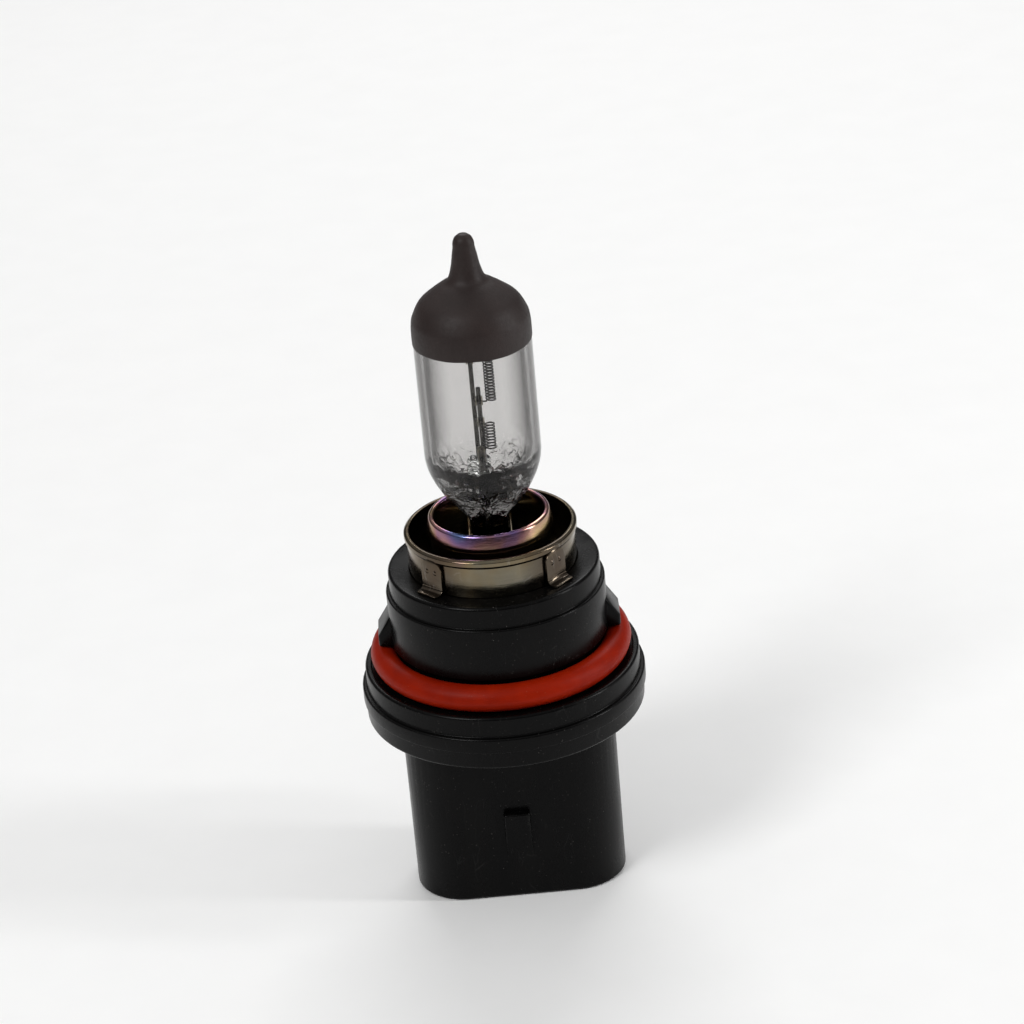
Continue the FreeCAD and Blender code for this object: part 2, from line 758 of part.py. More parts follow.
foot_pad = pad(collar, foot, "collar_wall")
around(collar, [tab_pad, foot_pad], 4)
eighth = FreeCAD.Rotation(FreeCAD.Vector(0, 0, 1), 45)
collar.Placement = FreeCAD.Placement(FreeCAD.Vector(0, 0, 0), eighth)
keep(collar, "mounting_collar")

tube = new_body("sleeve_tube")
turn(tube, [
    ("sleeve_inner", "sleeve_low"),
    ("inner_wall", "sleeve_low"),
    ("inner_wall", "sleeve_low + sleeve_wall"),
    ("sleeve_radius", "sleeve_low + sleeve_wall"),
    ("sleeve_radius", "seat_height + lip_height"),
    ("sleeve_inner", "seat_height + lip_height"),
])
lip = doc.addObject("Part::Torus", "rolled_lip")
bind(lip, Radius1="sleeve_radius - sleeve_wall / 2", Radius2="lip_round")
move(lip, z="seat_height + lip_height")
sleeve = doc.addObject("Part::Fuse", "sleeve")
sleeve.Base = tube
sleeve.Tool = lip
keep(sleeve, "focusing_sleeve")

clip = new_body("press_seal_clip")
saddle = new_sketch(clip, "XY_Plane", "seat_height + clip_low")
draw_box(saddle, "seal_thick / 2 + clip_wall", "seal_width / 2 + clip_wall")
pad(clip, saddle, "clip_high - clip_low")
plate = new_sketch(clip, "XY_Plane", "seat_height + clip_low")
draw_circle(plate, "sleeve_inner")
pad(clip, plate, "clip_wall")
grip = new_sketch(clip, "XY_Plane", "seat_height + clip_low - cut_past")
draw_box(grip, "seal_thick / 2", "seal_width / 2")
pad(clip, grip, "clip_high - clip_low + 2 * cut_past", kind="Pocket", reverse=True)
keep(clip, "press_seal_clip")

# ---- check and write --------------------------------------------------------

doc.recompute()
for thing in doc.Objects:
    faults = [s for s in thing.State if s in ("Invalid", "Error")]
    if faults:
        raise RuntimeError(f"{thing.Label} ({thing.Name}) is {faults}")

os.makedirs("parts", exist_ok=True)
for thing in SUBPARTS:
    shape = thing.Shape
    if shape.isNull() or not shape.isValid() or not shape.Solids:
        raise RuntimeError(f"{thing.Label} has no valid shape")
    shape.exportStep(f"parts/{thing.Label}.step")
    print(f"{thing.Label:22s} solids {len(shape.Solids)}  volume {shape.Volume:10.3f}")
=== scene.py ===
import json
import math

import bpy
import bmesh
from mathutils import Matrix, Vector, noise


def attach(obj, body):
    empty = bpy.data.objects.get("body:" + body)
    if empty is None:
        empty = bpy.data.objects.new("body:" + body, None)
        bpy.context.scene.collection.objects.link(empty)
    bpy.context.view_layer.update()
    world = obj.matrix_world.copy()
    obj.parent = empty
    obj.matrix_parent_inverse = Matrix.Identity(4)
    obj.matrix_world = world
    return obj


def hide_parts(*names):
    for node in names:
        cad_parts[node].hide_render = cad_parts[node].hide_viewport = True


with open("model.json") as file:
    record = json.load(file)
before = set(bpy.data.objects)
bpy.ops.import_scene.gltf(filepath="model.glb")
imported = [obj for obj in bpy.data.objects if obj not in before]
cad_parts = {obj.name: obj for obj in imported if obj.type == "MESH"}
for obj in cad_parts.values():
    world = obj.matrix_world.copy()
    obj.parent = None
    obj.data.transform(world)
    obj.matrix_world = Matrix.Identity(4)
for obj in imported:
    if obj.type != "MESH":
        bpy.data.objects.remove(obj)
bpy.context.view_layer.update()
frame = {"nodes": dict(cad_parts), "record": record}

MM = 0.001
TURN = 2 * math.pi
scene = bpy.context.scene
mounts = {mount["name"]: mount for mount in frame["record"]["mounts"]}
SEAT = mounts["flange_seat"]["pos_m"][2] / MM

# ---- Camera ----
# A long lens a little above the bulb, rolled so that the bulb leans to the left
# in the frame, aimed half way up it.


def placed(name, contents):
    """A new object in the scene."""
    thing = bpy.data.objects.new(name, contents)
    scene.collection.objects.link(thing)
    return thing


aim = Vector((2.929, 0, 52.103)) * MM
look_down, lean, camera_away = math.radians(25.781), math.radians(5.223), 400 * MM
focal_length, film_width = 111.437, 36.0
forward = Vector((0, math.cos(look_down), -math.sin(look_down)))
up = Vector((0, math.sin(look_down), math.cos(look_down)))
side = Vector((1, 0, 0))
camera_right = side * math.cos(lean) - up * math.sin(lean)
camera_up = side * math.sin(lean) + up * math.cos(lean)
lens = bpy.data.cameras.new("product_camera")
lens.lens, lens.sensor_width = focal_length, film_width
lens.clip_start, lens.clip_end = 0.01, 20.0
camera = placed("product_camera", lens)
camera.matrix_world = Matrix.Translation(aim - forward * camera_away) @ Matrix((
    camera_right, camera_up, -forward)).transposed().to_4x4()
scene.camera = camera
scene.view_settings.view_transform = "Standard"

# ---- Studio ----
# A pale matt table, a room that is bright overhead and dim at eye level, and soft
# lamps: one large and high on the left, a narrow one on the right, one behind.


class Shader:
    """A material's or a group's node tree, with short words for its nodes."""

    def __init__(self, tree):
        self.tree = tree

    def add(self, kind, **settings):
        node = self.tree.nodes.new("ShaderNode" + kind)
        for name, setting in settings.items():
            setattr(node, name, setting)
        return node

    def give(self, socket, given):
        """Link an input to an output, or set it."""
        if isinstance(given, bpy.types.NodeSocket):
            self.tree.links.new(given, socket)
        elif isinstance(given, tuple) and len(given) == 3 and socket.type == "RGBA":
            socket.default_value = (*given, 1)
        else:
            socket.default_value = given

    def feed(self, node, **values):
        """Give a node's inputs by name, with _ for a space."""
        for name, given in values.items():
            self.give(node.inputs[name.replace("_", " ")], given)
        return node

    def math(self, operation, a, b=0.0, clamp=False):
        node = self.add("Math", operation=operation, use_clamp=clamp)
        self.give(node.inputs[0], a)
        self.give(node.inputs[1], b)
        return node.outputs[0]

    def times(self, a, b, clamp=False):
        return self.math("MULTIPLY", a, b, clamp)

    def noise(self, place, scale, detail=3.0, rough=0.55):
        node = self.add("TexNoise")
        self.feed(node, Vector=place, Scale=scale, Detail=detail, Roughness=rough)
        return node.outputs["Fac"]

    def cells(self, place, scale, feature="F1"):
        node = self.add("TexVoronoi", feature=feature)
        return self.feed(node, Vector=place, Scale=scale).outputs["Distance"]

    def stretch(self, place, scale):
        return self.feed(self.add("Mapping"), Vector=place, Scale=scale).outputs[0]

    def axes(self, place):
        return self.feed(self.add("SeparateXYZ"), Vector=place).outputs

    def ramp(self, value, low, high, to_low=0.0, to_high=1.0):
        node = self.add("MapRange")
        self.feed(node, Value=value, From_Min=low, From_Max=high, To_Min=to_low, To_Max=to_high)
        return node.outputs["Result"]

    def blend(self, amount, one, other):
        """Mix two colours by an amount."""
        node = self.add("Mix", data_type="RGBA")
        for number, given in ((0, amount), (6, one), (7, other)):
            self.give(node.inputs[number], given)
        return node.outputs[2]

    def bump(self, height, strength, distance, under=None):
        node = self.add("Bump")
        self.feed(node, Height=height, Strength=strength, Distance=distance)
        if under is not None:
            self.feed(node, Normal=under)
        return node.outputs["Normal"]

    def use(self, group, **values):
        node = self.add("Group")
        node.node_tree = group
        return self.feed(node, **values).outputs


def new_material(name):
    """A material, its shader words, its Principled node and the place on the piece."""
    material = bpy.data.materials.new(name)
    material.use_nodes = True
    shader = Shader(material.node_tree)
    surface = material.node_tree.nodes["Principled BSDF"]
    return material, shader, surface, shader.add("TexCoord").outputs["Object"]


def new_group(name, inputs, outputs):
    """An empty shader group, its shader words, its inputs and its output node."""
    tree = bpy.data.node_groups.new(name, "ShaderNodeTree")
    for title, kind in inputs:
        tree.interface.new_socket(title, in_out="INPUT", socket_type="NodeSocket" + kind)
    for title, kind in outputs:
        tree.interface.new_socket(title, in_out="OUTPUT", socket_type="NodeSocket" + kind)
    given = tree.nodes.new("NodeGroupInput").outputs
    return tree, Shader(tree), given, tree.nodes.new("NodeGroupOutput")


table_size, table_gap = 8.0, 0.00003
bpy.ops.mesh.primitive_plane_add(size=table_size, location=(0, 0, -table_gap))
table = bpy.context.object
table.name = "table"
pale_table, shader, surface, place = new_material("pale_table")
fleck = shader.ramp(shader.noise(place, scale=90.0, detail=4.0), 0.3, 0.7)
shader.feed(
    surface,
    Base_Color=shader.blend(fleck, (0.93, 0.93, 0.925), (0.915, 0.915, 0.91)),
    Roughness=0.8,
    Specular_IOR_Level=0.25,
)
table.data.materials.append(pale_table)

world = bpy.data.worlds.new("studio_room")
scene.world = world
world.use_nodes = True
room = Shader(world.node_tree)
height_in_room = room.axes(room.add("TexCoord").outputs["Generated"])["Z"]
walls = room.add("ValToRGB")
shades = walls.color_ramp.elements
eye_level, ceiling = shades[0], shades[1]
eye_level.position, eye_level.color = 0.0, (0.10, 0.10, 0.105, 1)
ceiling.position, ceiling.color = 0.75, (1.0, 1.0, 1.0, 1)
shades.new(0.22).color = (0.16, 0.16, 0.165, 1)
room.feed(walls, Fac=height_in_room)
seen_directly = room.add("LightPath").outputs["Is Camera Ray"]
backdrop = (1.72, 1.72, 1.71)
shown = room.blend(seen_directly, walls.outputs["Color"], backdrop)
room.feed(world.node_tree.nodes["Background"], Color=shown, Strength=0.50)


def soft_lamp(name, at, size, watts):
    """A rectangular soft box, facing the middle of the bulb."""
    light = bpy.data.lights.new(name, "AREA")
    light.shape, light.size, light.size_y = "RECTANGLE", size[0], size[1]
    light.energy = watts
    lamp = placed(name, light)
    lamp.location = Vector(at)
    lamp.rotation_euler = (aim - lamp.location).to_track_quat("-Z", "Y").to_euler()


soft_lamp("key_lamp", (-0.42, -0.42, 0.62), (0.26, 0.26), 2.6)
soft_lamp("right_strip", (0.52, -0.10, 0.24), (0.05, 0.40), 1.3)
soft_lamp("back_lamp", (0.05, 0.60, 0.62), (0.60, 0.30), 2.8)

# ---- Moulded base ----
# One black glass-filled plastic moulding: seat flange in three tiers, pilot with
# three ramped keys, stepped nose, and the shroud round the plug with its latch.


def rounded(outline, closed=False, steps=5):
    """Outline corners (x, y, radius) as points, each corner an arc that takes at most
    the given share of its shorter side."""
    most = 0.48
    points, count = [], len(outline)
    for i, (x, y, radius) in enumerate(outline):
        if not radius or (not closed and i in (0, count - 1)):
            points.append((x, y))
            continue
        here = Vector((x, y))
        back = Vector(outline[i - 1][:2]) - here
        on = Vector(outline[(i + 1) % count][:2]) - here
        half = back.angle(on) / 2
        cut = min(radius / math.tan(half), most * back.length, most * on.length)
        radius = cut * math.tan(half)
        back, on = back.normalized(), on.normalized()
        middle = here + (back + on).normalized() * radius / math.sin(half)
        start, end = here + back * cut - middle, here + on * cut - middle
        first = math.atan2(start.y, start.x)
        sweep = (math.atan2(end.y, end.x) - first + math.pi) % TURN - math.pi
        for k in range(steps + 1):
            angle = first + sweep * k / steps
            points.append((middle.x + radius * math.cos(angle),
                           middle.y + radius * math.sin(angle)))
    return points


def skin(rows, joined=False):
    """Faces between rows of points; a row of one point is a pole."""
    points, faces, starts = [], [], []
    for row in rows:
        starts.append(len(points))
        points += row
    pairs = [(i, i + 1) for i in range(len(rows) - 1)] + ([(len(rows) - 1, 0)] if joined else [])
    for one, two in pairs:
        wide = max(len(rows[one]), len(rows[two]))
        for k in range(wide):
            after = (k + 1) % wide
            corners = [
                starts[one] + k % len(rows[one]), starts[one] + after % len(rows[one]),
                starts[two] + after % len(rows[two]), starts[two] + k % len(rows[two]),
            ]
            faces.append(list(dict.fromkeys(corners)))
    return points, faces


same_place = 1e-7


def new_piece(name, shape, material, sharp=32, outward=True):
    """A mesh object from points in millimetres, facing outwards."""
    mesh = bpy.data.meshes.new(name)
    points, faces = shape
    mesh.from_pydata([Vector(p) * MM for p in points], [], faces)
    work = bmesh.new()
    work.from_mesh(mesh)
    bmesh.ops.remove_doubles(work, verts=work.verts, dist=same_place)
    bmesh.ops.recalc_face_normals(work, faces=work.faces)
    if not outward:
        bmesh.ops.reverse_faces(work, faces=work.faces)
    work.to_mesh(mesh)
    work.free()
    mesh.materials.append(material)
    return soften(placed(name, mesh), sharp)


def soften(piece, sharp=32):
    """Shade a piece smooth across edges flatter than the given angle."""
    piece.data.shade_smooth()
    piece.data.set_sharp_from_angle(angle=math.radians(sharp))
    return piece


def ring(radius, z, around=96, wave=None):
    """A level circle, or a single point on the axis."""
    if radius == 0:
        return [(0, 0, z)]
    angles = [TURN * k / around for k in range(around)]
    return [(radius * math.cos(angle), radius * math.sin(angle),
             z + (wave(angle) if wave else 0)) for angle in angles]


def lathe(name, outline, material, closed=False, around=96, sharp=32, steps=5):
    """A turned piece from (radius, z, rounding) corners."""
    rows = [ring(r, z, around) for r, z in rounded(outline, closed, steps)]
    return new_piece(name, skin(rows, closed), material, sharp)


def settle(piece):
    """Keep what a piece's modifiers make of it, and take them off."""
    graph = bpy.context.evaluated_depsgraph_get()
    made = bpy.data.meshes.new_from_object(piece.evaluated_get(graph), depsgraph=graph)
    piece.modifiers.clear()
    piece.data = made
    return piece


def bevel(piece, width, segments=3, angle=40):
    """Round a piece's sharp edges by a width in millimetres."""
    rounding = piece.modifiers.new("edge_rounding", "BEVEL")
    rounding.width, rounding.segments = width * MM, segments
    rounding.limit_method, rounding.angle_limit = "ANGLE", math.radians(angle)
    return soften(settle(piece))


def join(name, pieces):
    """Several pieces as one mesh."""
    work = bmesh.new()
    slots = []
    for piece in pieces:
        first = len(work.faces)
        work.from_mesh(piece.data)
        work.faces.ensure_lookup_table()
        for material in piece.data.materials:
            if material not in slots:
                slots.append(material)
        for face in work.faces[first:]:
            face.material_index = slots.index(piece.data.materials[face.material_index])
    mesh = bpy.data.meshes.new(name)
    work.to_mesh(mesh)
    work.free()
    for material in slots:
        mesh.materials.append(material)
    for piece in pieces:
        bpy.data.objects.remove(piece)
    return placed(name, mesh)


def united(piece, others):
    """A piece and others as one closed solid."""
    for other in others:
        union = piece.modifiers.new("union", "BOOLEAN")
        union.operation, union.solver, union.object = "UNION", "EXACT", other
        settle(piece)
        bpy.data.objects.remove(other)
    return soften(piece)


def fitted(piece, slot, *nodes):
    """A finished piece rides with the bulb and stands for its CAD nodes; its slot is not used."""
    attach(piece, "root")
    if nodes:
        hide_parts(*nodes)
    return piece


# Two effects that several finishes share.
fine_grain, group, given, result = new_group(
    "fine_grain",
    [("Place", "Vector"), ("Scale", "Float"), ("Contrast", "Float")],
    [("Height", "Float"), ("Mask", "Float")],
)
coarse = group.noise(given["Place"], given["Scale"], 5.0, 0.6)
speck = group.cells(given["Place"], group.times(given["Scale"], 2.3))
height = group.math("ADD", coarse, group.times(speck, 0.35))
group.feed(result, Height=height)
spread = group.times(group.math("SUBTRACT", coarse, 0.5), given["Contrast"])
group.feed(result, Mask=group.math("ADD", spread, 0.5, clamp=True))

handling_marks, group, given, result = new_group(
    "handling_marks",
    [("Place", "Vector"), ("Scale", "Float"), ("Dust", "Float")],
    [("Scuffs", "Float"), ("Dust", "Float"), ("Height", "Float")],
)
warp = group.noise(given["Place"], group.times(given["Scale"], 0.6), 2.0)
drift = group.add("VectorMath", operation="MULTIPLY_ADD")
for socket, value in zip(drift.inputs, (warp, (0.004, 0.002, 0.003), given["Place"])):
    group.give(socket, value)
long_way = group.stretch(drift.outputs[0], (1.0, 1.0, 0.22))
hair = group.cells(long_way, group.times(given["Scale"], 1.7), "DISTANCE_TO_EDGE")
lines = group.ramp(hair, 0.0, 0.018, 1.0, 0.0)
patches = group.ramp(group.noise(given["Place"], given["Scale"], 3.0), 0.52, 0.66)
scuffs = group.times(lines, patches)
motes = group.cells(given["Place"], group.times(given["Scale"], 9.0))
mote = group.ramp(motes, 0.05, 0.16, 1.0, 0.0)
settled_dust = group.ramp(
    group.noise(given["Place"], group.times(given["Scale"], 2.6), 4.0), 0.5, 0.72)
group.feed(result, Scuffs=scuffs, Height=group.math("SUBTRACT", 0.0, scuffs))
group.feed(result, Dust=group.times(
    group.times(mote, settled_dust), given["Dust"], clamp=True))

base_plastic, shader, surface, place = new_material("black_glass_filled_plastic")
grain = shader.use(fine_grain, Place=place, Scale=2600.0, Contrast=1.6)
flow = shader.use(fine_grain, Place=shader.stretch(place, (1, 1, 0.35)), Scale=240.0, Contrast=2.2)
marks = shader.use(handling_marks, Place=place, Scale=260.0, Dust=0.55)
off_parting = shader.math("ABSOLUTE", shader.axes(place)["X"])
seam = shader.ramp(off_parting, 0.00003, 0.00012, 1.0, 0.0)
colour = shader.blend(flow["Mask"], (0.0009, 0.0009, 0.0010), (0.0027, 0.0025, 0.0024))
colour = shader.blend(shader.times(marks["Scuffs"], 0.35), colour, (0.03, 0.029, 0.028))
colour = shader.blend(marks["Dust"], colour, (0.30, 0.28, 0.26))
rough = shader.ramp(flow["Mask"], 0.0, 1.0, 0.20, 0.34)
rough = shader.math("ADD", rough, shader.times(marks["Dust"], 0.3), clamp=True)
relief = shader.bump(grain["Height"], 0.12, 0.00004)
relief = shader.bump(marks["Height"], 0.10, 0.00002, relief)
relief = shader.bump(seam, 0.30, 0.00005, relief)
shader.feed(surface, Base_Color=colour, Roughness=rough, Normal=relief, IOR=1.5,
            Specular_IOR_Level=0.10)

flange_radius, flange_step, seat_edge = 18.3, 0.6, SEAT - 2.7
flange_low, floor_level = SEAT - 7.1, SEAT - 4.0
skirt_radius, skirt_top = flange_radius - 0.3, flange_low + 2.4
bed_radius, collar_bed = 16.901, SEAT + 9.0
groove_radius, pilot_radius, nose_radius = 13.301, 14.001, 13.501
collar_radius, bore_radius = 10.701, 9.301
pilot_top, nose_low = SEAT + 13.2, SEAT + 10.3
gland_floor = SEAT - 0.3
groove_top = gland_floor + 3.6
moulding = lathe("base_moulding", [
    (0, flange_low, 0),
    (skirt_radius, flange_low, 0.45),
    (skirt_radius, skirt_top, 0.12),
    (flange_radius, skirt_top, 0.35),
    (flange_radius, seat_edge, 0.45),
    (flange_radius - flange_step, seat_edge, 0.15),
    (flange_radius - flange_step, SEAT, 0.5),
    (bed_radius, SEAT, 0.1),
    (bed_radius, gland_floor, 0.1),
    (groove_radius, gland_floor, 0.25),
    (groove_radius, groove_top, 0.25),
    (pilot_radius, groove_top, 0.2),
    (pilot_radius, nose_low, 0.5),
    (nose_radius, nose_low, 0.12),
    (nose_radius, pilot_top, 0.45),
    (collar_radius, pilot_top, 0.15),
    (collar_radius, collar_bed, 0.12),
    (bore_radius, collar_bed, 0.25),
    (bore_radius, floor_level, 0.3),
    (0, floor_level, 0),
], base_plastic, around=144)


def oblong(half_x, half_y, corner, z, arc=9):
    """A level rounded rectangle of points."""
    points = []
    for quarter, (sx, sy) in enumerate(((1, 1), (-1, 1), (-1, -1), (1, -1))):
        middle = (sx * (half_x - corner), sy * (half_y - corner))
        for k in range(arc + 1):
            angle = math.pi / 2 * (quarter + k / arc)
            points.append((middle[0] + corner * math.cos(angle),
                           middle[1] + corner * math.sin(angle), z))
    return points


shroud_x, shroud_y, shroud_corner, shroud_wall = 13.8, 7.6, 6.5, 2.0
shroud_root, socket_floor = flange_low + 1.2, flange_low - 0.9
shroud_rows = [oblong(shroud_x - inset, shroud_y - inset, shroud_corner - inset, z)
               for inset, z in rounded([
                   (4.0, shroud_root, 0), (0, shroud_root, 0), (0, 0, 0.45),
                   (shroud_wall, 0, 0.45), (shroud_wall, socket_floor, 0.8),
                   (4.2, socket_floor, 0)])]
shroud_rows = [[(0, 0, shroud_root)]] + shroud_rows + [[(0, 0, socket_floor)]]
shroud = new_piece("shroud", skin(shroud_rows), base_plastic)


def wedge(name, outline, width, material, rounding, segments=3):
    """A solid from an outline in the X-Z plane, as wide as given across Y."""
    rows = [[(x, half, z) for x, z in outline] for half in (-width / 2, width / 2)]
    points, faces = skin(rows)
    count = len(outline)
    faces += [list(range(count)), list(range(count, 2 * count))]
    return bevel(new_piece(name, (points, faces), material), rounding, segments)


def turned_to(piece, degrees):
    """Turn a mesh about the bulb's axis."""
    piece.data.transform(Matrix.Rotation(math.radians(degrees), 4, "Z"))
    return piece


key_root, key_reach, key_low = 12.2, 15.5, groove_top + 0.02
key_shoulder, key_top, key_width = key_low + 1.6, key_low + 4.2, 5.0
keys = [turned_to(wedge("key", [
    (key_root, key_low), (key_reach, key_low), (key_reach, key_shoulder),
    (pilot_radius - 0.2, key_top), (key_root, key_top),
], key_width, base_plastic, 0.35), angle) for angle in (0, 90, 180)]
latch_catch, latch_toe, latch_width = 13.0, 5.0, 3.4
latch_root, latch_reach = shroud_y - 0.8, shroud_y + 1.1
latch = turned_to(wedge("latch", [
    (latch_root, latch_toe - 1.0), (shroud_y - 0.05, latch_toe),
    (latch_reach, latch_catch - 1.4), (latch_reach, latch_catch), (latch_root, latch_catch),
], latch_width, base_plastic, 0.3), -90)
united(moulding, [shroud, latch] + keys)
fitted(moulding, "base_plastic", "base_housing")

# ---- O-ring ----
# An orange-red silicone ring, stretched round the pilot's foot onto its bed. The
# two mould halves leave a fine flash line round its outside.

silicone, shader, surface, place = new_material("orange_silicone")
grain = shader.use(fine_grain, Place=place, Scale=1800.0, Contrast=1.4)
cloud = shader.use(fine_grain, Place=place, Scale=170.0, Contrast=2.0)
marks = shader.use(handling_marks, Place=place, Scale=380.0, Dust=0.5)
colour = shader.blend(cloud["Mask"], (0.19, 0.0058, 0.0001), (0.33, 0.0135, 0.0002))
colour = shader.blend(marks["Dust"], colour, (0.62, 0.34, 0.26))
shader.feed(
    surface,
    Base_Color=colour,
    Roughness=shader.ramp(grain["Mask"], 0, 1, 0.34, 0.55),
    Normal=shader.bump(grain["Height"], 0.18, 0.00003),
    IOR=1.43,
    Subsurface_Weight=0.05,
    Subsurface_Scale=0.0008,
    Subsurface_Radius=(1.0, 0.25, 0.12),
    Specular_IOR_Level=0.11,
)
ring_radius, ring_section, flash, stops = 15.05, 1.75, 0.045, 40
ring_outline = []
for k in range(stops):
    angle = TURN * k / stops
    reach = ring_section - (flash if k else 0)
    ring_outline.append((ring_radius + reach * math.cos(angle),
                         gland_floor + ring_section + reach * math.sin(angle), 0))
o_ring = lathe("o_ring_seal", ring_outline, silicone, closed=True, around=160, sharp=60)
fitted(o_ring, "seal_rubber", "o_ring")

# ---- Terminals ----
# Three blanked tin-plated brass blades, pressed up through the shroud's floor, with
# a narrow welding tail each. Blanking leaves their edges slightly rolled over.

drawn_lines, group, given, result = new_group(
    "drawn_lines",
    [("Place", "Vector"), ("Along", "Float"), ("Across", "Float")],
    [("Height", "Float"), ("Mask", "Float")],
)
spot = group.axes(given["Place"])
lay = group.feed(
    group.add("CombineXYZ"),
    X=group.times(spot["X"], given["Along"]),
    Y=group.times(spot["Y"], given["Along"]),
    Z=group.times(spot["Z"], given["Across"]),
)
grooves = group.noise(lay.outputs[0], 1.0, 6.0, 0.7)
group.feed(result, Height=grooves, Mask=group.ramp(grooves, 0.35, 0.65))

tinned_brass, shader, surface, place = new_material("tinned_brass")
lines = shader.use(drawn_lines, Place=place, Along=3200.0, Across=260.0)
marks = shader.use(handling_marks, Place=place, Scale=420.0, Dust=0.2)
stain = shader.use(fine_grain, Place=place, Scale=300.0, Contrast=2.5)
colour = shader.blend(stain["Mask"], (0.62, 0.60, 0.56), (0.74, 0.72, 0.68))
colour = shader.blend(shader.times(marks["Scuffs"], 0.6), colour, (0.60, 0.44, 0.20))


def bare_metal(shader, surface, colour, grain, dull, strength, depth):
    """Finish a metal: its colour, its dullness at the grain's low and high, its relief."""
    shader.feed(
        surface, Base_Color=colour, Metallic=1.0,
        Roughness=shader.ramp(grain["Mask"], 0, 1, *dull),
        Normal=shader.bump(grain["Height"], strength, depth),
    )


bare_metal(shader, surface, colour, lines, (0.26, 0.42), 0.10, 0.00003)
edge_roll, joined_within, flat_within = 0.12, 1e-6, 0.01
for node in ("low_beam_terminal", "common_terminal", "high_beam_terminal"):
    copied = bmesh.new()
    copied.from_mesh(frame["nodes"][node].data)
    bmesh.ops.remove_doubles(copied, verts=copied.verts, dist=joined_within)
    bmesh.ops.dissolve_limit(
        copied, angle_limit=flat_within, verts=copied.verts, edges=copied.edges)
    mesh = bpy.data.meshes.new(node.replace("terminal", "blade"))
    copied.to_mesh(mesh)
    copied.free()
    mesh.materials.clear()
    mesh.materials.append(tinned_brass)
    fitted(bevel(placed(mesh.name, mesh), edge_roll, 2), "terminal_metal", node)

# ---- Potting ----
# Brown epoxy poured over the floor of the base, sealing the blades. It keeps its
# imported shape; only its finish is made here.

brown_epoxy, shader, surface, place = new_material("brown_epoxy")
cloud = shader.use(fine_grain, Place=place, Scale=260.0, Contrast=2.4)
fill = shader.use(fine_grain, Place=place, Scale=1500.0, Contrast=1.5)
shader.feed(
    surface,
    Base_Color=shader.blend(cloud["Mask"], (0.055, 0.026, 0.010), (0.115, 0.058, 0.024)),
    Roughness=shader.ramp(cloud["Mask"], 0, 1, 0.12, 0.30),
    Normal=shader.bump(fill["Height"], 0.1, 0.00004),
    IOR=1.55,
    Coat_Weight=0.3,
)
sealing = frame["nodes"]["terminal_seal"]
for held in sealing.material_slots:
    held.material = brown_epoxy

# ---- Glass capsule ----
# A hard-glass tube, its top drawn into the exhaust tip where it was filled and
# melted shut, its foot pinched flat in a press over the three wires.

capsule_glass, shader, surface, place = new_material("capsule_glass")
ream = shader.noise(shader.stretch(place, (1, 1, 0.30)), 150.0, 2.0)
level = shader.axes(place)["Z"]
press_low, press_high = (SEAT + 21.5) * MM, (SEAT + 27.5) * MM
pressed = shader.times(
    shader.ramp(level, press_low, press_low + 1.5 * MM),
    shader.ramp(level, press_high - 2.0 * MM, press_high, 1.0, 0.0))
crazed = shader.times(shader.noise(place, 1500.0, 2.0), pressed)
# The base colour darkens where the glass turns edge-on to the view: painted shade along the tube's
# edges.
rim = shader.add("LayerWeight")
shader.feed(rim, Blend=0.30)
painted_edge_shade = shader.ramp(rim.outputs["Facing"], 0.13, 0.44)
shader.feed(
    surface,
    Base_Color=shader.blend(painted_edge_shade, (0.86, 0.852, 0.848), (0.055, 0.052, 0.051)),
    Specular_Tint=(0.45, 0.45, 0.45),
    Roughness=0.0,
    IOR=1.48,
    Transmission_Weight=1.0,
    Normal=shader.bump(crazed, 0.9, 0.0003, shader.bump(ream, 0.05, 0.0004)),
)
tinted = shader.add("VolumeAbsorption")
shader.feed(tinted, Color=(0.50, 0.495, 0.485), Density=230.0)
shader.tree.links.new(
    tinted.outputs["Volume"], capsule_glass.node_tree.nodes["Material Output"].inputs["Volume"])


def curved(points, per_span=5):
    """Points along a smooth line through those given."""
    line = []
    padded = [points[0]] + list(points) + [points[-1]]
    for a, b, c, d in zip(padded, padded[1:], padded[2:], padded[3:]):
        for k in range(per_span):
            t = k / per_span
            line.append(tuple(
                0.5 * (2 * q + (r - p) * t + (2 * p - 5 * q + 4 * r - s) * t * t
                       + (3 * q - p - 3 * r + s) * t ** 3)
                for p, q, r, s in zip(a, b, c, d)))
    line.append(tuple(points[-1]))
    return line


def squared(half_x, half_y, power, z, around=96):
    """A level ring between an ellipse (power 2) and a rounded rectangle."""
    points = []
    for k in range(around):
        lead = TURN * k / around
        angle = math.atan2(half_y * math.sin(lead), half_x * math.cos(lead))
        reach = (abs(math.cos(angle) / half_x) ** power
                 + abs(math.sin(angle) / half_y) ** power) ** (-1 / power)
        points.append((reach * math.cos(angle), reach * math.sin(angle), z))
    return points


tube_radius, bore, tip_top = 7.35, 6.35, SEAT + 57.4
straight = (32, 36, 40, 43)
# (height above the seat, half width X, half width Y, squareness)
pinch_line = curved([
    (10.0, 2.25, 5.2, 6.0), (10.35, 2.45, 5.4, 7.0), (12.0, 2.45, 5.4, 7.0),
    (19.0, 2.45, 5.4, 7.0), (20.7, 2.5, 5.42, 6.0), (21.6, 3.0, 5.55, 4.5),
    (22.8, 4.4, 5.85, 3.2), (23.8, 5.35, 6.2, 2.6), (25.6, 6.55, 6.85, 2.15),
    (27.2, 7.15, 7.2, 2.0), (28.6, 7.35, 7.35, 2.0),
], 4)
dome_line = curved([
    (7.35, 45.2), (7.28, 46.2), (7.08, 47.1), (6.2, 48.75), (4.8, 49.95), (3.4, 50.95),
    (2.27, 51.75), (1.72, 53.3), (1.45, 54.8), (1.28, 55.7), (1.22, 56.4), (0.95, 57.05),
    (0.5, 57.33),
], 4)
rib_low, rib_high, rib_pitch, rib_depth = 12.5, 19.5, 1.75, 0.10
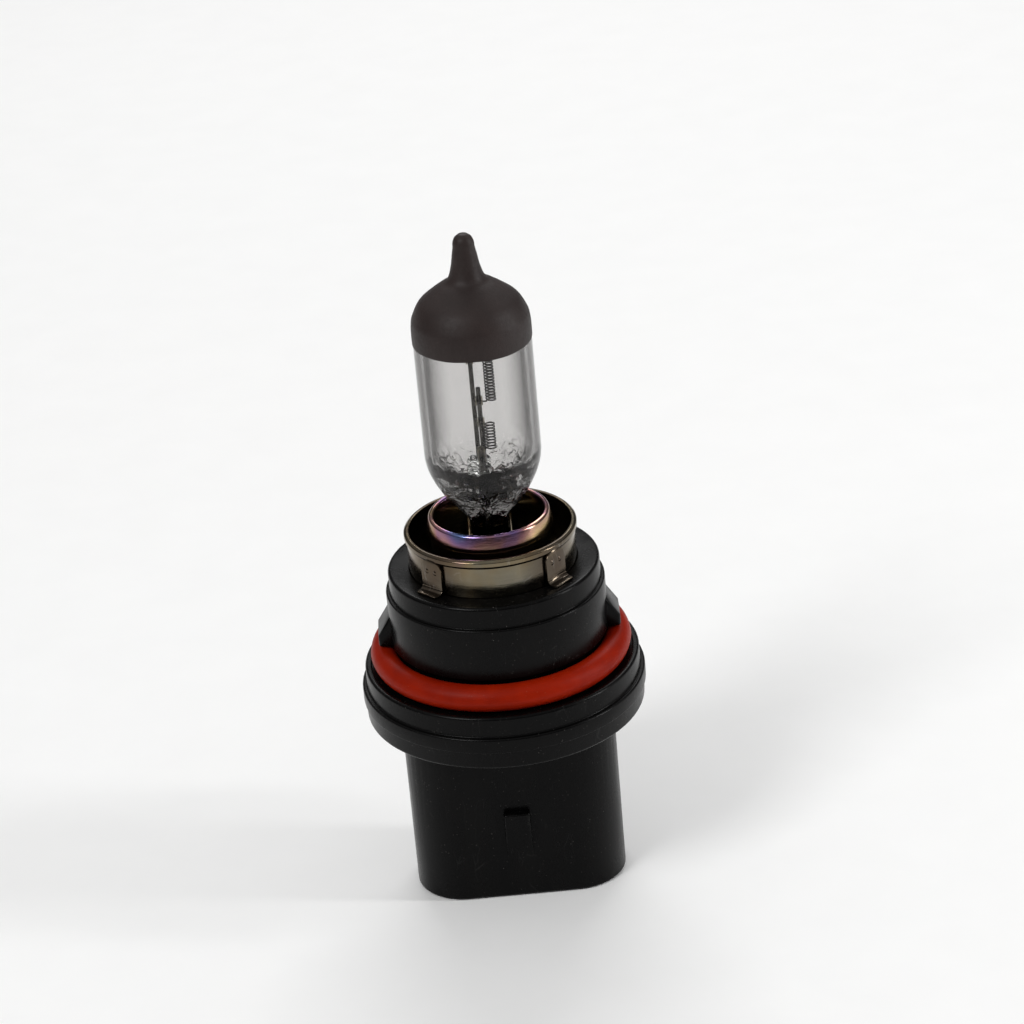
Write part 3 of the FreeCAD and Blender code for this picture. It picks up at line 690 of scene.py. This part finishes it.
outer_rows = [[(0, 0, SEAT + 10.0)], squared(1.7, 4.7, 6.0, SEAT + 10.0)]
for z, half_x, half_y, power in pinch_line:
    if rib_low < z < rib_high:
        half_x -= rib_depth * max(0.0, math.sin((z - rib_low) * TURN / rib_pitch))
    dent_x, dent_y = (0.04, 0.02) if 18.5 < z < 23.5 else (0.0, 0.0)
    outer_rows.append([
        (px * (1 - dent_x * (1 + noise.noise(Vector((px, py, pz)) * 1.3))),
         py * (1 - dent_y * (1 + noise.noise(Vector((py, pz, px)) * 1.5))), pz)
        for px, py, pz in squared(half_x, half_y, power, SEAT + z)])
outer_rows += [ring(tube_radius, SEAT + z) for z in straight]
outer_rows += [ring(r, SEAT + z) for r, z in dome_line]
outer_rows.append([(0, 0, tip_top)])


def crinkled(radius, z, share, around=144):
    """A ring of the gas space's foot, as the press left it: creased and lumpy."""
    points = []
    for k in range(around):
        angle = TURN * k / around
        spot = Vector((radius * math.cos(angle), radius * math.sin(angle), z))
        crease = noise.noise(spot * 1.1) * 0.62 + noise.noise(spot * 2.9) * 0.36
        fold = 0.25 * math.sin(2 * angle + 0.6)
        reach = radius - 0.35 * share * (1 + crease)
        points.append((reach * math.cos(angle), reach * math.sin(angle),
                       z + share * (crease + fold)))
    return points


floor_line = curved([
    (0.6, 24.4, 0.2), (1.2, 24.0, 0.7), (2.1, 23.7, 1.0), (3.0, 23.9, 1.0), (3.7, 24.5, 0.95),
    (4.4, 25.3, 0.9), (5.1, 26.3, 0.8), (5.8, 27.3, 0.6), (6.25, 28.3, 0.3), (bore, 29.4, 0.08),
    (bore, 31.0, 0.0),
], 5)
vault_line = curved([
    (bore, 45.6), (6.2, 46.6), (5.5, 47.8), (4.2, 48.9), (2.9, 49.8), (1.7, 50.5),
    (0.9, 51.3), (0.55, 52.6), (0.3, 53.6),
], 4)
inner_rows = [[(0, 0, SEAT + 24.5)]]
inner_rows += [crinkled(r, SEAT + z, share) for r, z, share in floor_line]
inner_rows += [ring(bore, SEAT + z, 144) for z in straight[1:]]
inner_rows += [ring(r, SEAT + z, 144) for r, z in vault_line]
inner_rows.append([(0, 0, SEAT + 53.8)])
envelope = join("glass_capsule", [
    new_piece("outside", skin(outer_rows), capsule_glass, 80),
    new_piece("inside", skin(inner_rows), capsule_glass, 80, outward=False),
])
soften(envelope, 80)
fitted(envelope, "capsule_glass", "glass_envelope")

# ---- Top coating ----
# A dull brown-black ceramic paint, dipped over the dome and the tip and fired, so
# that no light leaves the bulb forwards. Its lower edge wanders slightly.

fired_paint, shader, surface, place = new_material("fired_black_paint")
grain = shader.use(fine_grain, Place=place, Scale=2200.0, Contrast=1.8)
cloud = shader.use(fine_grain, Place=shader.stretch(place, (1, 1, 0.5)), Scale=190.0, Contrast=2.4)
marks = shader.use(handling_marks, Place=place, Scale=300.0, Dust=0.35)
colour = shader.blend(cloud["Mask"], (0.0125, 0.0068, 0.0060), (0.025, 0.0155, 0.0140))
colour = shader.blend(marks["Dust"], colour, (0.16, 0.14, 0.13))
shader.feed(
    surface,
    Base_Color=colour,
    Roughness=shader.ramp(grain["Mask"], 0, 1, 0.46, 0.62),
    Normal=shader.bump(grain["Height"], 0.35, 0.00006),
    IOR=1.5,
    Specular_IOR_Level=0.3,
)
coat_edge, coat_gap, coat_thick = SEAT + 43.5, 0.012, 0.095


def run_edge(angle):
    return (0.10 * math.sin(2 * angle + 0.9) + 0.05 * math.sin(3 * angle)
            + 0.02 * math.sin(7 * angle))


# (radius, height above the edge, whether it wanders)
edge_line = [(7.362, 0.6, False), (7.362, 0.16, True), (7.375, 0.12, True),
             (7.41, 0.16, True), (7.43, 0.35, True), (7.44, 1.0, False)]
coat_rows = [ring(r, coat_edge + z, wave=run_edge if wanders else None)
             for r, z, wanders in edge_line]
coated = [(r, SEAT + z + 0.004) for r, z in dome_line if z > 45.25]
lifts = [0.0] * (len(coated) - 3) + [0.02, 0.05, 0.08]
coat_rows += [ring(r + coat_thick - 0.005, z + lift) for (r, z), lift in zip(coated, lifts)]
lining_rows = [ring(r + coat_gap, z) for r, z in reversed(coated)]
points, faces = skin(coat_rows + [[(0, 0, tip_top + coat_thick)]])
inner_points, inner_faces = skin([[(0, 0, tip_top + coat_gap)]] + lining_rows + coat_rows[:1])
faces += [[k + len(points) for k in face] for face in inner_faces]
coating = new_piece("top_coating", (points + inner_points, faces), fired_paint, 60)
fitted(coating, "top_coating", "black_top_coating")

# ---- Support wires ----
# Three molybdenum wires melted into the seal. Below it they bend out to the blades'
# tails, and above it each reaches the height of the coil end that it feeds.

heat_tint, group, given, result = new_group(
    "heat_tint",
    [("Place", "Vector"), ("Scale", "Float"), ("Low", "Float"), ("High", "Float")],
    [("Color", "Color"), ("Mask", "Float")],
)
level = group.ramp(group.axes(given["Place"])["Z"], given["Low"], given["High"])
cloudy = group.math("SUBTRACT", group.noise(given["Place"], given["Scale"], 3.0), 0.5)
heat = group.math("ADD", level, group.times(cloudy, 1.1), clamp=True)
bands = group.add("ValToRGB")
bands.color_ramp.elements[0].color = (0.60, 0.57, 0.52, 1)
bands.color_ramp.elements[1].color = (0.22, 0.50, 0.60, 1)
for position, band in (
    (0.30, (0.66, 0.58, 0.40, 1)),
    (0.48, (0.72, 0.50, 0.22, 1)),
    (0.62, (0.56, 0.24, 0.26, 1)),
    (0.75, (0.30, 0.16, 0.46, 1)),
    (0.86, (0.14, 0.26, 0.62, 1)),
):
    bands.color_ramp.elements.new(position).color = band
group.feed(bands, Fac=heat)
group.feed(result, Color=bands.outputs["Color"], Mask=heat)

lead_wire, shader, surface, place = new_material("molybdenum_wire")
lines = shader.use(drawn_lines, Place=place, Along=9000.0, Across=500.0)
stain = shader.use(fine_grain, Place=place, Scale=600.0, Contrast=2.5)
colour = shader.blend(stain["Mask"], (0.035, 0.033, 0.030), (0.11, 0.105, 0.095))
bare_metal(shader, surface, colour, lines, (0.14, 0.26), 0.12, 0.00002)


def geometry_tree(name, inputs):
    """An empty Geometry Nodes tree with named inputs."""
    tree = bpy.data.node_groups.new(name, "GeometryNodeTree")
    tree.interface.new_socket("Geometry", in_out="INPUT", socket_type="NodeSocketGeometry")
    for title, kind in inputs:
        tree.interface.new_socket(title, in_out="INPUT", socket_type="NodeSocket" + kind)
    tree.interface.new_socket("Geometry", in_out="OUTPUT", socket_type="NodeSocketGeometry")
    return tree, tree.nodes.new("NodeGroupInput").outputs


def step(tree, kind, settings=(), **links):
    """Add a node, set its options, and set or link its inputs by name."""
    node = tree.nodes.new(kind)
    for name, setting in dict(settings).items():
        setattr(node, name, setting)
    for name, given in links.items():
        socket = next(s for s in node.inputs if s.name == name.replace("_", " ") and s.enabled)
        if isinstance(given, bpy.types.NodeSocket):
            tree.links.new(given, socket)
        else:
            socket.default_value = given
    return node


def finish_tree(tree, shape, finish):
    """End a tree with real geometry in its material."""
    real = step(tree, "GeometryNodeRealizeInstances", Geometry=shape)
    painted = step(tree, "GeometryNodeSetMaterial", Geometry=real.outputs[0], Material=finish)
    result = tree.nodes.new("NodeGroupOutput")
    tree.links.new(painted.outputs[0], result.inputs[0])


def grown(name, tree, values, points=(), edges=()):
    """A plain mesh from what a Geometry Nodes tree makes."""
    mesh = bpy.data.meshes.new(name)
    mesh.from_pydata([Vector(p) * MM for p in points], edges, [])
    piece = placed(name, mesh)
    modifier = piece.modifiers.new(tree.name, "NODES")
    modifier.node_group = tree
    sockets = {item.name: item.identifier for item in tree.interface.items_tree
               if item.in_out == "INPUT"}
    for title, given in values.items():
        modifier[sockets[title]] = given
    return settle(piece)


drawn_wire, given = geometry_tree("drawn_wire", [
    ("Wire Radius", "Float"), ("Bend Radius", "Float"), ("Finish", "Material")])
route = step(drawn_wire, "GeometryNodeMeshToCurve", Mesh=given["Geometry"])
bent = step(drawn_wire, "GeometryNodeFilletCurve", Curve=route.outputs[0],
            Radius=given["Bend Radius"], Limit_Radius=True)
bent.mode = "POLY"
next(s for s in bent.inputs if s.name == "Count").default_value = 6
section = step(drawn_wire, "GeometryNodeCurvePrimitiveCircle", Resolution=16,
               Radius=given["Wire Radius"])
wire = step(drawn_wire, "GeometryNodeCurveToMesh", Curve=bent.outputs[0],
            Profile_Curve=section.outputs[0], Fill_Caps=True)
finish_tree(drawn_wire, wire.outputs[0], given["Finish"])


def drawn(name, points, radius, bend, material):
    """A wire along straight runs with rounded bends."""
    edges = [(i, i + 1) for i in range(len(points) - 1)]
    return soften(grown(name, drawn_wire, {
        "Wire Radius": radius * MM, "Bend Radius": bend * MM, "Finish": material,
    }, points, edges), 50)


lead_radius, lead_spread, coil_y = 0.3, 2.6, -0.9
lead_foot, lead_bend_high, lead_bend_low = SEAT + 1.5, SEAT + 8.0, SEAT + 7.4
lead_routes = {
    "low_beam_lead": (-0.6, lead_spread, SEAT + 42.2, coil_y, 7.35),
    "common_lead": (0.1, 0.0, SEAT + 37.2, None, 0.65),
    "high_beam_lead": (-0.2, -lead_spread, SEAT + 27.9, coil_y, -7.35),
}
for name, (x, y, top, across, foot_x) in lead_routes.items():
    route = [(foot_x, y, lead_foot), (foot_x, y, lead_bend_low), (x, y, lead_bend_high),
             (x, y, top)]
    if across is not None:
        route.append((x, across, top))
    fitted(drawn(name, route, lead_radius, 0.8, lead_wire), "lead_metal", name + "_wire")

# ---- Coiled filaments ----
# Tungsten wire wound on a mandrel into an upright coil, with a straight leg at each
# end that runs sideways to its support wires.

tungsten, shader, surface, place = new_material("tungsten_wire")
grain = shader.use(fine_grain, Place=place, Scale=4200.0, Contrast=2.2)
colour = shader.blend(grain["Mask"], (0.05, 0.048, 0.046), (0.14, 0.135, 0.13))
bare_metal(shader, surface, colour, grain, (0.30, 0.50), 0.2, 0.00001)

wound_coil, given = geometry_tree("wound_coil", [
    ("Coil Radius", "Float"), ("Length", "Float"), ("Turns", "Float"),
    ("Wire Radius", "Float"), ("Foot", "Vector"), ("Finish", "Material")])
turns = step(wound_coil, "GeometryNodeCurveSpiral", Resolution=24,
             Rotations=given["Turns"], Start_Radius=given["Coil Radius"],
             End_Radius=given["Coil Radius"], Height=given["Length"])
section = step(wound_coil, "GeometryNodeCurvePrimitiveCircle", Resolution=8,
               Radius=given["Wire Radius"])
coil = step(wound_coil, "GeometryNodeCurveToMesh", Curve=turns.outputs[0],
            Profile_Curve=section.outputs[0], Fill_Caps=True)
half_turned = step(wound_coil, "GeometryNodeTransform", Geometry=coil.outputs[0],
                   Translation=given["Foot"], Rotation=(0, 0, math.pi))
finish_tree(wound_coil, half_turned.outputs[0], given["Finish"])

coil_wire = 0.1
filaments = {
    # node: coil X, coil radius, foot, length, lower leg's end, upper leg's end
    "low_beam_filament": (1.6, 0.575, SEAT + 35.7, 5.6, 0.1, -0.6),
    "high_beam_filament": (1.05, 0.65, SEAT + 29.2, 3.6, -0.2, 0.1),
}
coil_pitch = 0.4
for name, (x, radius, low, length, low_end, high_end) in filaments.items():
    winding = grown(name + "_winding", wound_coil, {
        "Coil Radius": radius * MM, "Length": length * MM,
        "Turns": float(round(length / coil_pitch)), "Wire Radius": coil_wire * MM,
        "Foot": (x * MM, coil_y * MM, low * MM), "Finish": tungsten,
    })
    legs = []
    for end, z in ((low_end, low), (high_end, low + length)):
        legs.append(drawn(name + "_leg", [(x - radius, coil_y, z), (end, coil_y, z)],
                          coil_wire, coil_wire, tungsten))
    coil = join(name + "_coil", [winding] + legs)
    soften(coil, 60)
    fitted(coil, "tungsten", name)

# ---- Folded crimps ----
# Small molybdenum strips, folded over a coil's leg and its support wire and spot
# welded, so that the hot coil doesn't touch a bare weld.

molybdenum, shader, surface, place = new_material("molybdenum_strip")
lines = shader.use(drawn_lines, Place=place, Along=4000.0, Across=900.0)
tint = shader.use(heat_tint, Place=place, Scale=700.0, Low=0.055, High=0.115)
colour = shader.blend(0.30, (0.07, 0.068, 0.065), tint["Color"])
bare_metal(shader, surface, colour, lines, (0.28, 0.48), 0.15, 0.00002)


def folded_strip(name, x, y_low, y_high, z_low, z_high, thick=1.0, gauge=0.22, overhang=0.33):
    """A strip folded into a hairpin round what it holds, open on one side."""
    half = thick / 2 - 0.02
    length = (y_high - y_low) / 2 + lead_radius + 0.1
    middle = (y_low + y_high) / 2
    outside = rounded([
        (-half, -length, 0), (-half, length, 0.42), (half, length, 0.42), (half, -length, 0)],
        steps=6)
    inside = rounded([
        (half - gauge, -length, 0), (half - gauge, length - gauge, 0.24),
        (gauge - half, length - gauge, 0.24), (gauge - half, -length, 0)], steps=6)
    outline = outside + inside
    points, faces = skin([[(x + dx, middle + dy, z) for dx, dy in outline]
                          for z in (z_low - overhang, z_high + overhang)])
    count = len(outline)
    for row in (0, 1):
        for k in range(len(outside) - 1):
            faces.append([row * count + k, row * count + k + 1,
                          row * count + count - 2 - k, row * count + count - 1 - k])
    return bevel(new_piece(name, (points, faces), molybdenum), 0.05, 2, 50)


crimps = {
    # node: X, Y from and to, Z from and to
    "low_front_crimp": (-0.6, coil_y, coil_y, SEAT + 41.3, SEAT + 42.2),
    "low_rear_crimp": (0.1, coil_y, 0.0, SEAT + 35.7, SEAT + 35.7),
    "high_front_crimp": (0.1, coil_y, 0.0, SEAT + 32.8, SEAT + 32.8),
    "high_rear_crimp": (-0.2, coil_y, coil_y, SEAT + 27.9, SEAT + 29.2),
}
for node, (x, y_low, y_high, z_low, z_high) in crimps.items():
    strip = folded_strip(node.replace("crimp", "strip"), x, y_low, y_high, z_low, z_high)
    fitted(strip, "crimp_strip", node)

# ---- Glass bridge ----
# Two rods of soft glass, melted onto the three wires from both sides to hold them
# apart. The melt swells round each wire.

bead_glass, shader, surface, place = new_material("bead_glass")
ream = shader.noise(place, 900.0, 2.0)
shader.feed(
    surface,
    Base_Color=shader.blend(shader.ramp(ream, 0.35, 0.65), (0.80, 0.84, 0.81), (0.93, 0.95, 0.94)),
    Roughness=0.02,
    IOR=1.52,
    Transmission_Weight=1.0,
    Normal=shader.bump(ream, 0.10, 0.0002),
)
bead_radius, bead_half, bead_end, stops = 0.8, 3.2, 0.6, 28
bead_x, bead_z = -0.6, SEAT + 26.2
rods = []
for offset, wobble in ((-0.75, 0.4), (0.75, 2.1)):
    rows = []
    for k in range(stops + 1):
        along = -bead_half + 2 * bead_half * k / stops
        past = max(0.0, (abs(along) - bead_half + bead_end) / bead_end)
        swell = sum(math.exp(-((along - y) / 0.45) ** 2) for y in (-lead_spread, 0, lead_spread))
        radius = bead_radius - 0.12 + 0.11 * swell + 0.02 * math.sin(3 * along + wobble)
        radius *= math.sqrt(max(0.0, 1 - past ** 2))
        rows.append([(bead_x + offset + dx, along, bead_z + dz)
                     for dx, dz, _ in ring(radius if radius > 0.02 else 0, 0, 24)])
    rods.append(new_piece("rod", skin(rows), bead_glass, 70))
bridge = united(rods[0], rods[1:])
bridge.name = bridge.data.name = "glass_bead_bridge"
soften(bridge, 70)
fitted(bridge, "bead_glass", "glass_bridge")

# ---- Seal clip ----
# A stainless sheet sleeve pushed over the flat seal, on a disc that centres it in the focusing
# sleeve.


def steel(name, dark, light, low, high, tinted, band_shade_depth):
    """Stainless sheet with its drawn lines, tinted by heat between two heights, and with painted
    shade in upright bands at the four welded tabs' angles."""
    material, shader, surface, place = new_material(name)
    lines = shader.use(drawn_lines, Place=place, Along=420.0, Across=5200.0)
    cloud = shader.use(fine_grain, Place=place, Scale=210.0, Contrast=2.0)
    marks = shader.use(handling_marks, Place=place, Scale=330.0, Dust=0.2)
    tint = shader.use(heat_tint, Place=place, Scale=130.0, Low=low, High=high)
    spot = shader.axes(place)
    # Upright bands at the four tabs' angles, over the piece's whole height, blended towards near
    # black: painted shade on the wall's sides.
    around = shader.math("ARCTAN2", spot["Y"], spot["X"])
    painted_band_shade = shader.math("ABSOLUTE", shader.math("SINE", shader.times(around, 2.0)))
    painted_band_shade = shader.ramp(painted_band_shade, 0.55, 1.0, 0.0, band_shade_depth)
    painted_band_shade = shader.times(painted_band_shade, shader.ramp(cloud["Mask"], 0, 1, 0.7, 1.2))
    bands = shader.noise(shader.stretch(place, (0.5, 0.5, 3.0)), 190.0, 2.0)
    colour = shader.blend(cloud["Mask"], dark, light)
    colour = shader.blend(shader.ramp(bands, 0.46, 0.60, 0.0, 0.65), colour, dark)
    colour = shader.blend(tinted, colour, tint["Color"])
    colour = shader.blend(painted_band_shade, colour, (0.055, 0.038, 0.030))
    colour = shader.blend(shader.times(marks["Scuffs"], 0.3), colour, (0.6, 0.58, 0.54))
    shader.feed(
        surface,
        Base_Color=colour,
        Metallic=1.0,
        Roughness=shader.ramp(lines["Mask"], 0, 1, 0.10, 0.24),
        Normal=shader.bump(marks["Height"], 0.15, 0.00002,
                           shader.bump(lines["Height"], 0.30, 0.00003)),
    )
    return material


# Two copies: the sleeve's steel without painted shade bands, and the collar's steel, which is
# darker and has painted shade bands at its tabs.
stainless = steel("stainless_sheet", (0.09, 0.083, 0.076), (0.19, 0.175, 0.16),
                  SEAT * MM + 0.0120, SEAT * MM + 0.0245, 0.60, 0.0)
welded_shaded_steel = steel("welded_stainless", (0.045, 0.041, 0.034), (0.115, 0.106, 0.082),
                     SEAT * MM - 0.002, SEAT * MM + 0.050, 0.18, 0.80)

clip_wall, clip_low, clip_high = 0.4, SEAT + 12.0, SEAT + 17.4
seal_x, seal_y, sleeve_inner = 2.45, 5.4, 7.1
clip_rows = []
for inset, z in rounded([
    (0.30, clip_low, 0.15), (0.0, clip_low, 0.15), (0.0, clip_high, 0.15),
    (clip_wall - 0.02, clip_high, 0.15), (clip_wall - 0.02, clip_low, 0.15),
], closed=True, steps=3):
    half_x, half_y = seal_x + clip_wall - inset, seal_y + clip_wall - inset
    clip_rows.append(oblong(half_x, half_y, max(0.15, 0.75 - inset), z))
grip = new_piece("grip", skin(clip_rows, joined=True), stainless)
disc_rows = []
for z in (clip_low + clip_wall, clip_low):
    hole = oblong(seal_x + 0.1, seal_y + 0.1, 0.5, z)
    turns = [math.atan2(py * 0.55, px) for px, py, _ in hole]
    rim = [(sleeve_inner * math.cos(turn), sleeve_inner * math.sin(turn), z) for turn in turns]
    disc_rows += [rim, hole] if z > clip_low else [hole, rim]
disc = bevel(new_piece("disc", skin(disc_rows, joined=True), stainless), 0.08, 2)
clip = united(grip, [disc])
clip.name = clip.data.name = "seal_clip"
fitted(clip, "holder_steel", "press_seal_clip")

# ---- Focusing sleeve ----
# A drawn stainless cup that carries the clip at the right height. Its foot flange
# is welded to the collar's floor and its lip is rolled over outwards.

sleeve_radius, inner_wall = 7.6, 10.3
sleeve_low, lip_top, lip_low, lip_reach = SEAT + 9.4, SEAT + 20.28, SEAT + 18.1, 8.05
sleeve = lathe("rolled_sleeve", [
    (sleeve_inner, sleeve_low, 0.08),
    (inner_wall - 0.02, sleeve_low, 0.1),
    (inner_wall - 0.02, sleeve_low + 0.5, 0.1),
    (sleeve_radius, sleeve_low + 0.5, 0.6),
    (sleeve_radius, lip_low - 0.25, 0.2),
    (lip_reach, lip_low - 0.05, 0.3),
    (lip_reach - 0.05, lip_low + 0.45, 0.3),
    (sleeve_inner + 0.55, lip_top - 0.15, 0.4),
    (sleeve_inner + 0.12, lip_top, 0.2),
    (sleeve_inner - 0.12, lip_top - 0.25, 0.25),
    (sleeve_inner, lip_top - 0.9, 0.3),
], stainless, closed=True, around=144, steps=6)
fitted(sleeve, "holder_steel", "focusing_sleeve")

# ---- Mounting collar ----
# A deep-drawn stainless cup pressed into the moulded nose, with a rolled rim and
# four arched tabs, spot welded to its wall and standing on the plastic.

collar_foot, collar_rim, collar_wall = SEAT + 9.0, SEAT + 18.4, 0.4
cup = lathe("cup", [
    (8.0, collar_foot, 0.1),
    (collar_radius - 0.01, collar_foot, 0.7),
    (collar_radius - 0.01, collar_rim - 1.15, 0.2),
    (collar_radius + 0.29, collar_rim - 0.80, 0.2),
    (collar_radius + 0.29, collar_rim - 0.25, 0.25),
    (collar_radius - 0.05, collar_rim, 0.2),
    (inner_wall, collar_rim, 0.15),
    (inner_wall, collar_foot + collar_wall, 0.4),
    (8.0, collar_foot + collar_wall, 0.1),
], welded_shaded_steel, closed=True, around=160)


def strip_along(name, path, half_widths, thick, material):
    """A sheet strip along a path in the X-Z plane, its width across Y."""
    rows = []
    for i, (x, z) in enumerate(path):
        before, after = path[max(i - 1, 0)], path[min(i + 1, len(path) - 1)]
        run = Vector((after[0] - before[0], after[1] - before[1])).normalized()
        off = Vector((run.y, -run.x)) * thick / 2
        half = half_widths[i]
        rows.append([(x + off.x, -half, z + off.y), (x + off.x, half, z + off.y),
                     (x - off.x, half, z - off.y), (x - off.x, -half, z - off.y)])
    points, faces = skin(rows)
    faces += [[0, 1, 2, 3], [len(points) - 4 + k for k in range(4)]]
    return bevel(new_piece(name, (points, faces), material), 0.07, 2, 50)


tab_wall = collar_radius + 0.16
tab_path = rounded([
    (12.28, pilot_top + 0.2, 0), (tab_wall + 0.03, pilot_top + 0.2, 0.75),
    (tab_wall, pilot_top + 3.3, 0)], steps=6)
tab_path += [(tab_wall, pilot_top + 3.3 + 1.25 * k / 6) for k in range(1, 7)]
tab_widths = []
for x, z in tab_path:
    over = max(0.0, (z - pilot_top - 3.3) / 1.28)
    foot = max(0.0, (x - 11.9) / 0.5)
    tab_widths.append(1.7 * math.sqrt(max(0.06, 1 - over ** 2)) - 0.35 * foot ** 2)
tab = strip_along("tab", tab_path, tab_widths, 0.36, welded_shaded_steel)

around_axis, given = geometry_tree("around_axis", [
    ("Piece", "Object"), ("Count", "Int"), ("First Turn", "Float"),
    ("Turn Between", "Float"), ("Finish", "Material")])
places = step(around_axis, "GeometryNodePoints", Count=given["Count"])
number = step(around_axis, "GeometryNodeInputIndex")
turned_by = step(around_axis, "ShaderNodeMath", {"operation": "MULTIPLY_ADD"})
factors = (number.outputs[0], given["Turn Between"], given["First Turn"])
for socket, source in zip(turned_by.inputs, factors):
    around_axis.links.new(source, socket)
spin = step(around_axis, "ShaderNodeCombineXYZ", Z=turned_by.outputs[0])
shape = step(around_axis, "GeometryNodeObjectInfo", Object=given["Piece"])
copies = step(around_axis, "GeometryNodeInstanceOnPoints", Points=places.outputs[0],
              Instance=shape.outputs["Geometry"], Rotation=spin.outputs[0])
finish_tree(around_axis, copies.outputs[0], given["Finish"])


def repeated(name, piece, count, first_degrees, material):
    """Even copies of a piece about the bulb's axis."""
    copies = grown(name, around_axis, {
        "Piece": piece, "Count": count, "First Turn": math.radians(first_degrees),
        "Turn Between": TURN / count, "Finish": material})
    bpy.data.objects.remove(piece)
    return copies


def weld_spot(name, radius, height, at, material):
    """A low dimple where an electrode pressed, in the Y-Z plane."""
    rows = [[(at[0] + height, at[1], at[2])]]
    for r, lift in ((0.45, 0.85), (0.7, 0.25), (0.85, 0.0), (1.0, 0.12), (1.12, -0.25)):
        rows.append([(at[0] + height * lift, at[1] + radius * r * math.cos(TURN * k / 18),
                      at[2] + radius * r * math.sin(TURN * k / 18)) for k in range(18)])
    rows.append([(at[0] - height, at[1], at[2])])
    return new_piece(name, skin(rows), material, 60)


tabs = repeated("tabs", tab, 4, 45, welded_shaded_steel)
spots = []
for dy in (-0.68, 0.68):
    spot = weld_spot("spot", 0.42, 0.10, (tab_wall + 0.17, dy, pilot_top + 2.9), welded_shaded_steel)
    spots.append(repeated("spots", spot, 4, 45, welded_shaded_steel))
collar = join("drawn_collar", [cup, tabs] + spots)
soften(collar, 35)
fitted(collar, "holder_steel", "mounting_collar")
